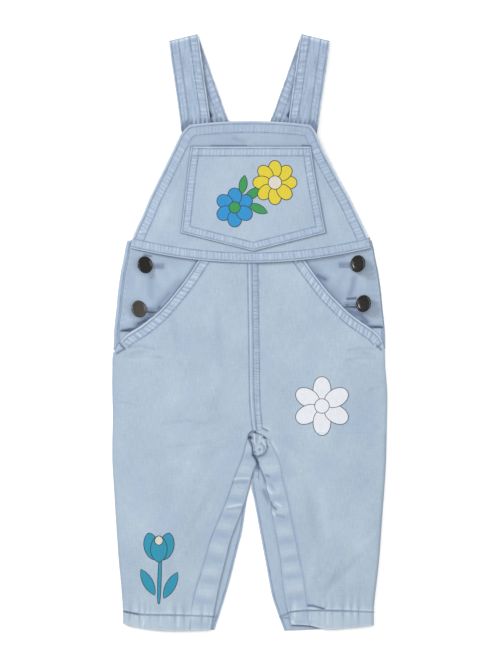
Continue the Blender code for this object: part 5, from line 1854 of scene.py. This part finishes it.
# %% The bib
BIB_CREASES = [
    (-9, 461.5, 16, 4.5, -0.5, 82), (40, 470, 16, 4, -0.4, -68), (-86, 415, 34, 6, -0.4, 24),
    (-78, 395, 30, 7, 0.4, 24), (88, 410, 34, 6, -0.4, -24), (80, 390, 30, 7, 0.4, -24),
    (-60, 368, 30, 5, -0.3, 76),
]
# The bib's strokes: painted shade in a dent above the pocket, along the pocket's mouth and in creases, and
# a painted highlight on one ridge.
BIB_STROKES = strokes_from(
    (3.8, -0.4, 0, 0.46, -15, 465, -9.5, 463.2, -4.5, 460.8), (1.4, 0, 0, 1.05, -36, 458.2, -3, 458.4),
    (3.4, 0, 0, 0.34, -33, 459, 48, 459.2), (1.6, 0, 0, 1.1, 50, 458.4, 57.8, 458.1),
    (1, 0.2, 0.7, 0, -103.5, 377.2, -98.5, 376.5), (0.9, -0.2, 0, 0.6, -102, 375.6, -97.5, 375.1),
    (1.2, -0.3, 0, 0.4, 42, 473.5, 49, 471.5, 54, 469), (4, 0, 0, 0.16, -48, 460, 50, 460),
)
bib_bands = [
    Band(bib_outline, 0.0118, 0.00035, (0.0027, 0.0106), 0.0056, 0.00017, 0.1, 1.3, 1.0),
    Band(bib_waist, WAIST_BAND, 0.00040, (0.0015, 0.0090), 0.0056, 0.00016, 0.1, 8.2, 0.40),
]


def patchy_blue(points, seed):
    return np.clip(0.12 + rumple(points, 0.03, 0.25, seed), 0, 0.4)


def dress_bib(points):
    look = together(seam_look(points, bib_bands), crease_look(points, BIB_CREASES, BIB_STROKES))
    look[LIFT] += rumple(points, 0.024, 0.00016, 41.0)
    # Darker towards the top, and painted shadow along the pocket's mouth and outline.
    yoke = ease(0.4520, 0.4600, points[:, 1])
    at_least(look, DARK, 0.04 + 0.19 * yoke + beside(points, pocket_mouth, 0.0013, 0.90))
    at_least(look, DARK, beside(points, pocket_outline, 0.0012, 0.75))
    at_least(look, BLUE, patchy_blue(points, 43.0))
    return look


columns = spread_steps((-1, -0.78, 38), (-0.78, 0.78, 104), (0.78, 1, 38))
rows = spread_steps((BIB_LOW_ROW, 0.3600, 24), (0.3600, 0.4680, 116), (0.4680, BIB_TOP_ROW, 28))
lay_out("cloth_bib", columns, rows, bib_point, dress_bib)
declare("cloth_bib", "front_bib", (0.2280, 0.1340), [sew("cloth_bib", bib_bands)])

# %% The bib pocket
pocket_bands = [
    Band(pocket_mouth, 0.0096, 0.00030, (0.0018, 0.0086), 0.0054, 0.00014, 0.1, 1.0, 0.80),
    Band(pocket_outline, 0.0084, 0.00025, (0.0013, 0.0076), 0.0054, 0.00015, 0.1, 2.0, 0.55),
]


def dress_pocket(points):
    look = seam_look(points, pocket_bands)
    look[LIFT] += rumple(points, 0.022, 0.00014, 51.0)
    at_least(look, DARK, 0.03)
    at_least(look, BLUE, patchy_blue(points, 53.0))
    return look


name = "cloth_bib_pocket"
columns = spread_steps((-1, -0.84, 22), (-0.84, 0, 54), (0, 0.84, 54), (0.84, 1, 22))
rows = spread_steps((POCKET_LOW_ROW, 0.3864, 18), (0.3864, 0.4470, 66), (0.4470, POCKET_TOP_ROW, 20))
lay_out(name, columns, rows, pocket_point, dress_pocket)
trim = [sew(name, pocket_bands), add_print("print_bib_pocket", surfaces[name], POCKET_PRINTS)]
declare(name, "bib_pocket", (0.1370, 0.0990), trim)

# %% [markdown]
# ## Crotch tab
#
# Where the centre seam ends, the plackets of both legs are caught together in a small bunched tab. It is a
# lens of cloth with a few deep creases and two deep dents where the bartack pulls, drawn as strokes like
# the creases of the bigger pieces: painted shade in the creases and dents, and painted highlight on its
# ridges and its raised ring.

# %% Crotch tab
# height, low x, high x
CROTCH_TAB = metres(
    (165.5, 6.6, 9.4), (167.3, 4, 13), (172.7, 3.2, 16.3), (178, 2, 16), (182.9, -0.1, 15),
    (185.5, 1.2, 11.2), (187.6, 3, 6),
)
CROTCH_TAB_TOP = 0.0059
RING_X, RING_HEIGHT, RING_RADIUS = 0.0098, 0.1713, 0.0026
tab_ring = tuple(
    (RING_X + RING_RADIUS * cos(turn), RING_HEIGHT + RING_RADIUS * sin(turn))
    for turn in np.linspace(-2.4, 2.6, 14)
)
# The raised ring and ridges of the tab get painted highlight; its creases and dents get painted shade.
TAB_STROKES = [Stroke(tab_ring, 0.0008, 0.0003, 0.28, 0)]
TAB_STROKES += strokes_from(
    (0.9, 0.4, 0.55, 0, 4.8, 188, 5, 176.5), (0.8, -0.4, 0, 0.45, 6.6, 187.2, 6.8, 177.5),
    (0.7, -0.3, 0, 0.35, 3, 187, 3, 180), (0.9, 0.3, 0.5, 0, 10, 185, 9.2, 179),
    (0.7, -0.3, 0, 0.45, 8.8, 185, 8.2, 180),
    (1, -0.4, 0, 1.15, 0.4, 186.4, 3, 187.8, 6.2, 187, 11.8, 185.6),
    (2.2, -0.8, 0, 1.5, -0.2, 183.8, 1.2, 182.4), (1.4, -0.8, 0, 1.5, 13.8, 183.4, 14.9, 182.6),
    (1.1, 0.3, 0.5, 0, 12.8, 180, 15, 175.5), (0.8, -0.3, 0, 0.6, 11.2, 176.8, 14, 173.8, 14.3, 170.5),
    (1.2, -0.5, 0, 0.7, 9.6, 170.8, 10.2, 171.2), (1.1, -0.4, 0, 1.1, 4.6, 169.5, 5, 168.5),
    (0.9, -0.3, 0, 0.6, 3.6, 177.5, 4.8, 172.8),
)


def tab_point(share, row):
    _, low, high = smooth(CROTCH_TAB, row)
    dome = 0.0008 * np.sin(pi * np.clip(share, 0, 1)) - 0.0004
    return low + (high - low) * share, row, CROTCH_TAB_TOP + dome


tab_rows = np.linspace(CROTCH_TAB[0][0], CROTCH_TAB[-1][0], 60)
tab_edges = [edge_of(tab_point, share, tab_rows) for share in (0, 1)]


def dress_tab(points):
    look = crease_look(points, (), TAB_STROKES)
    # Painted shade along the tab's edges.
    for edge, shade in zip(tab_edges, (0.95, 0.55)):
        at_least(look, DARK, beside(points, edge, 0.0009, shade))
    look[LIFT] += rumple(points, 0.004, 0.00020, 71.0)
    at_least(look, BLUE, 0.25)
    return look


lay_out("cloth_crotch_tab", spread_steps((0, 1, 40)), tab_rows, tab_point, dress_tab)
declare("cloth_crotch_tab", "crotch_tab", (0.0170, 0.0222))
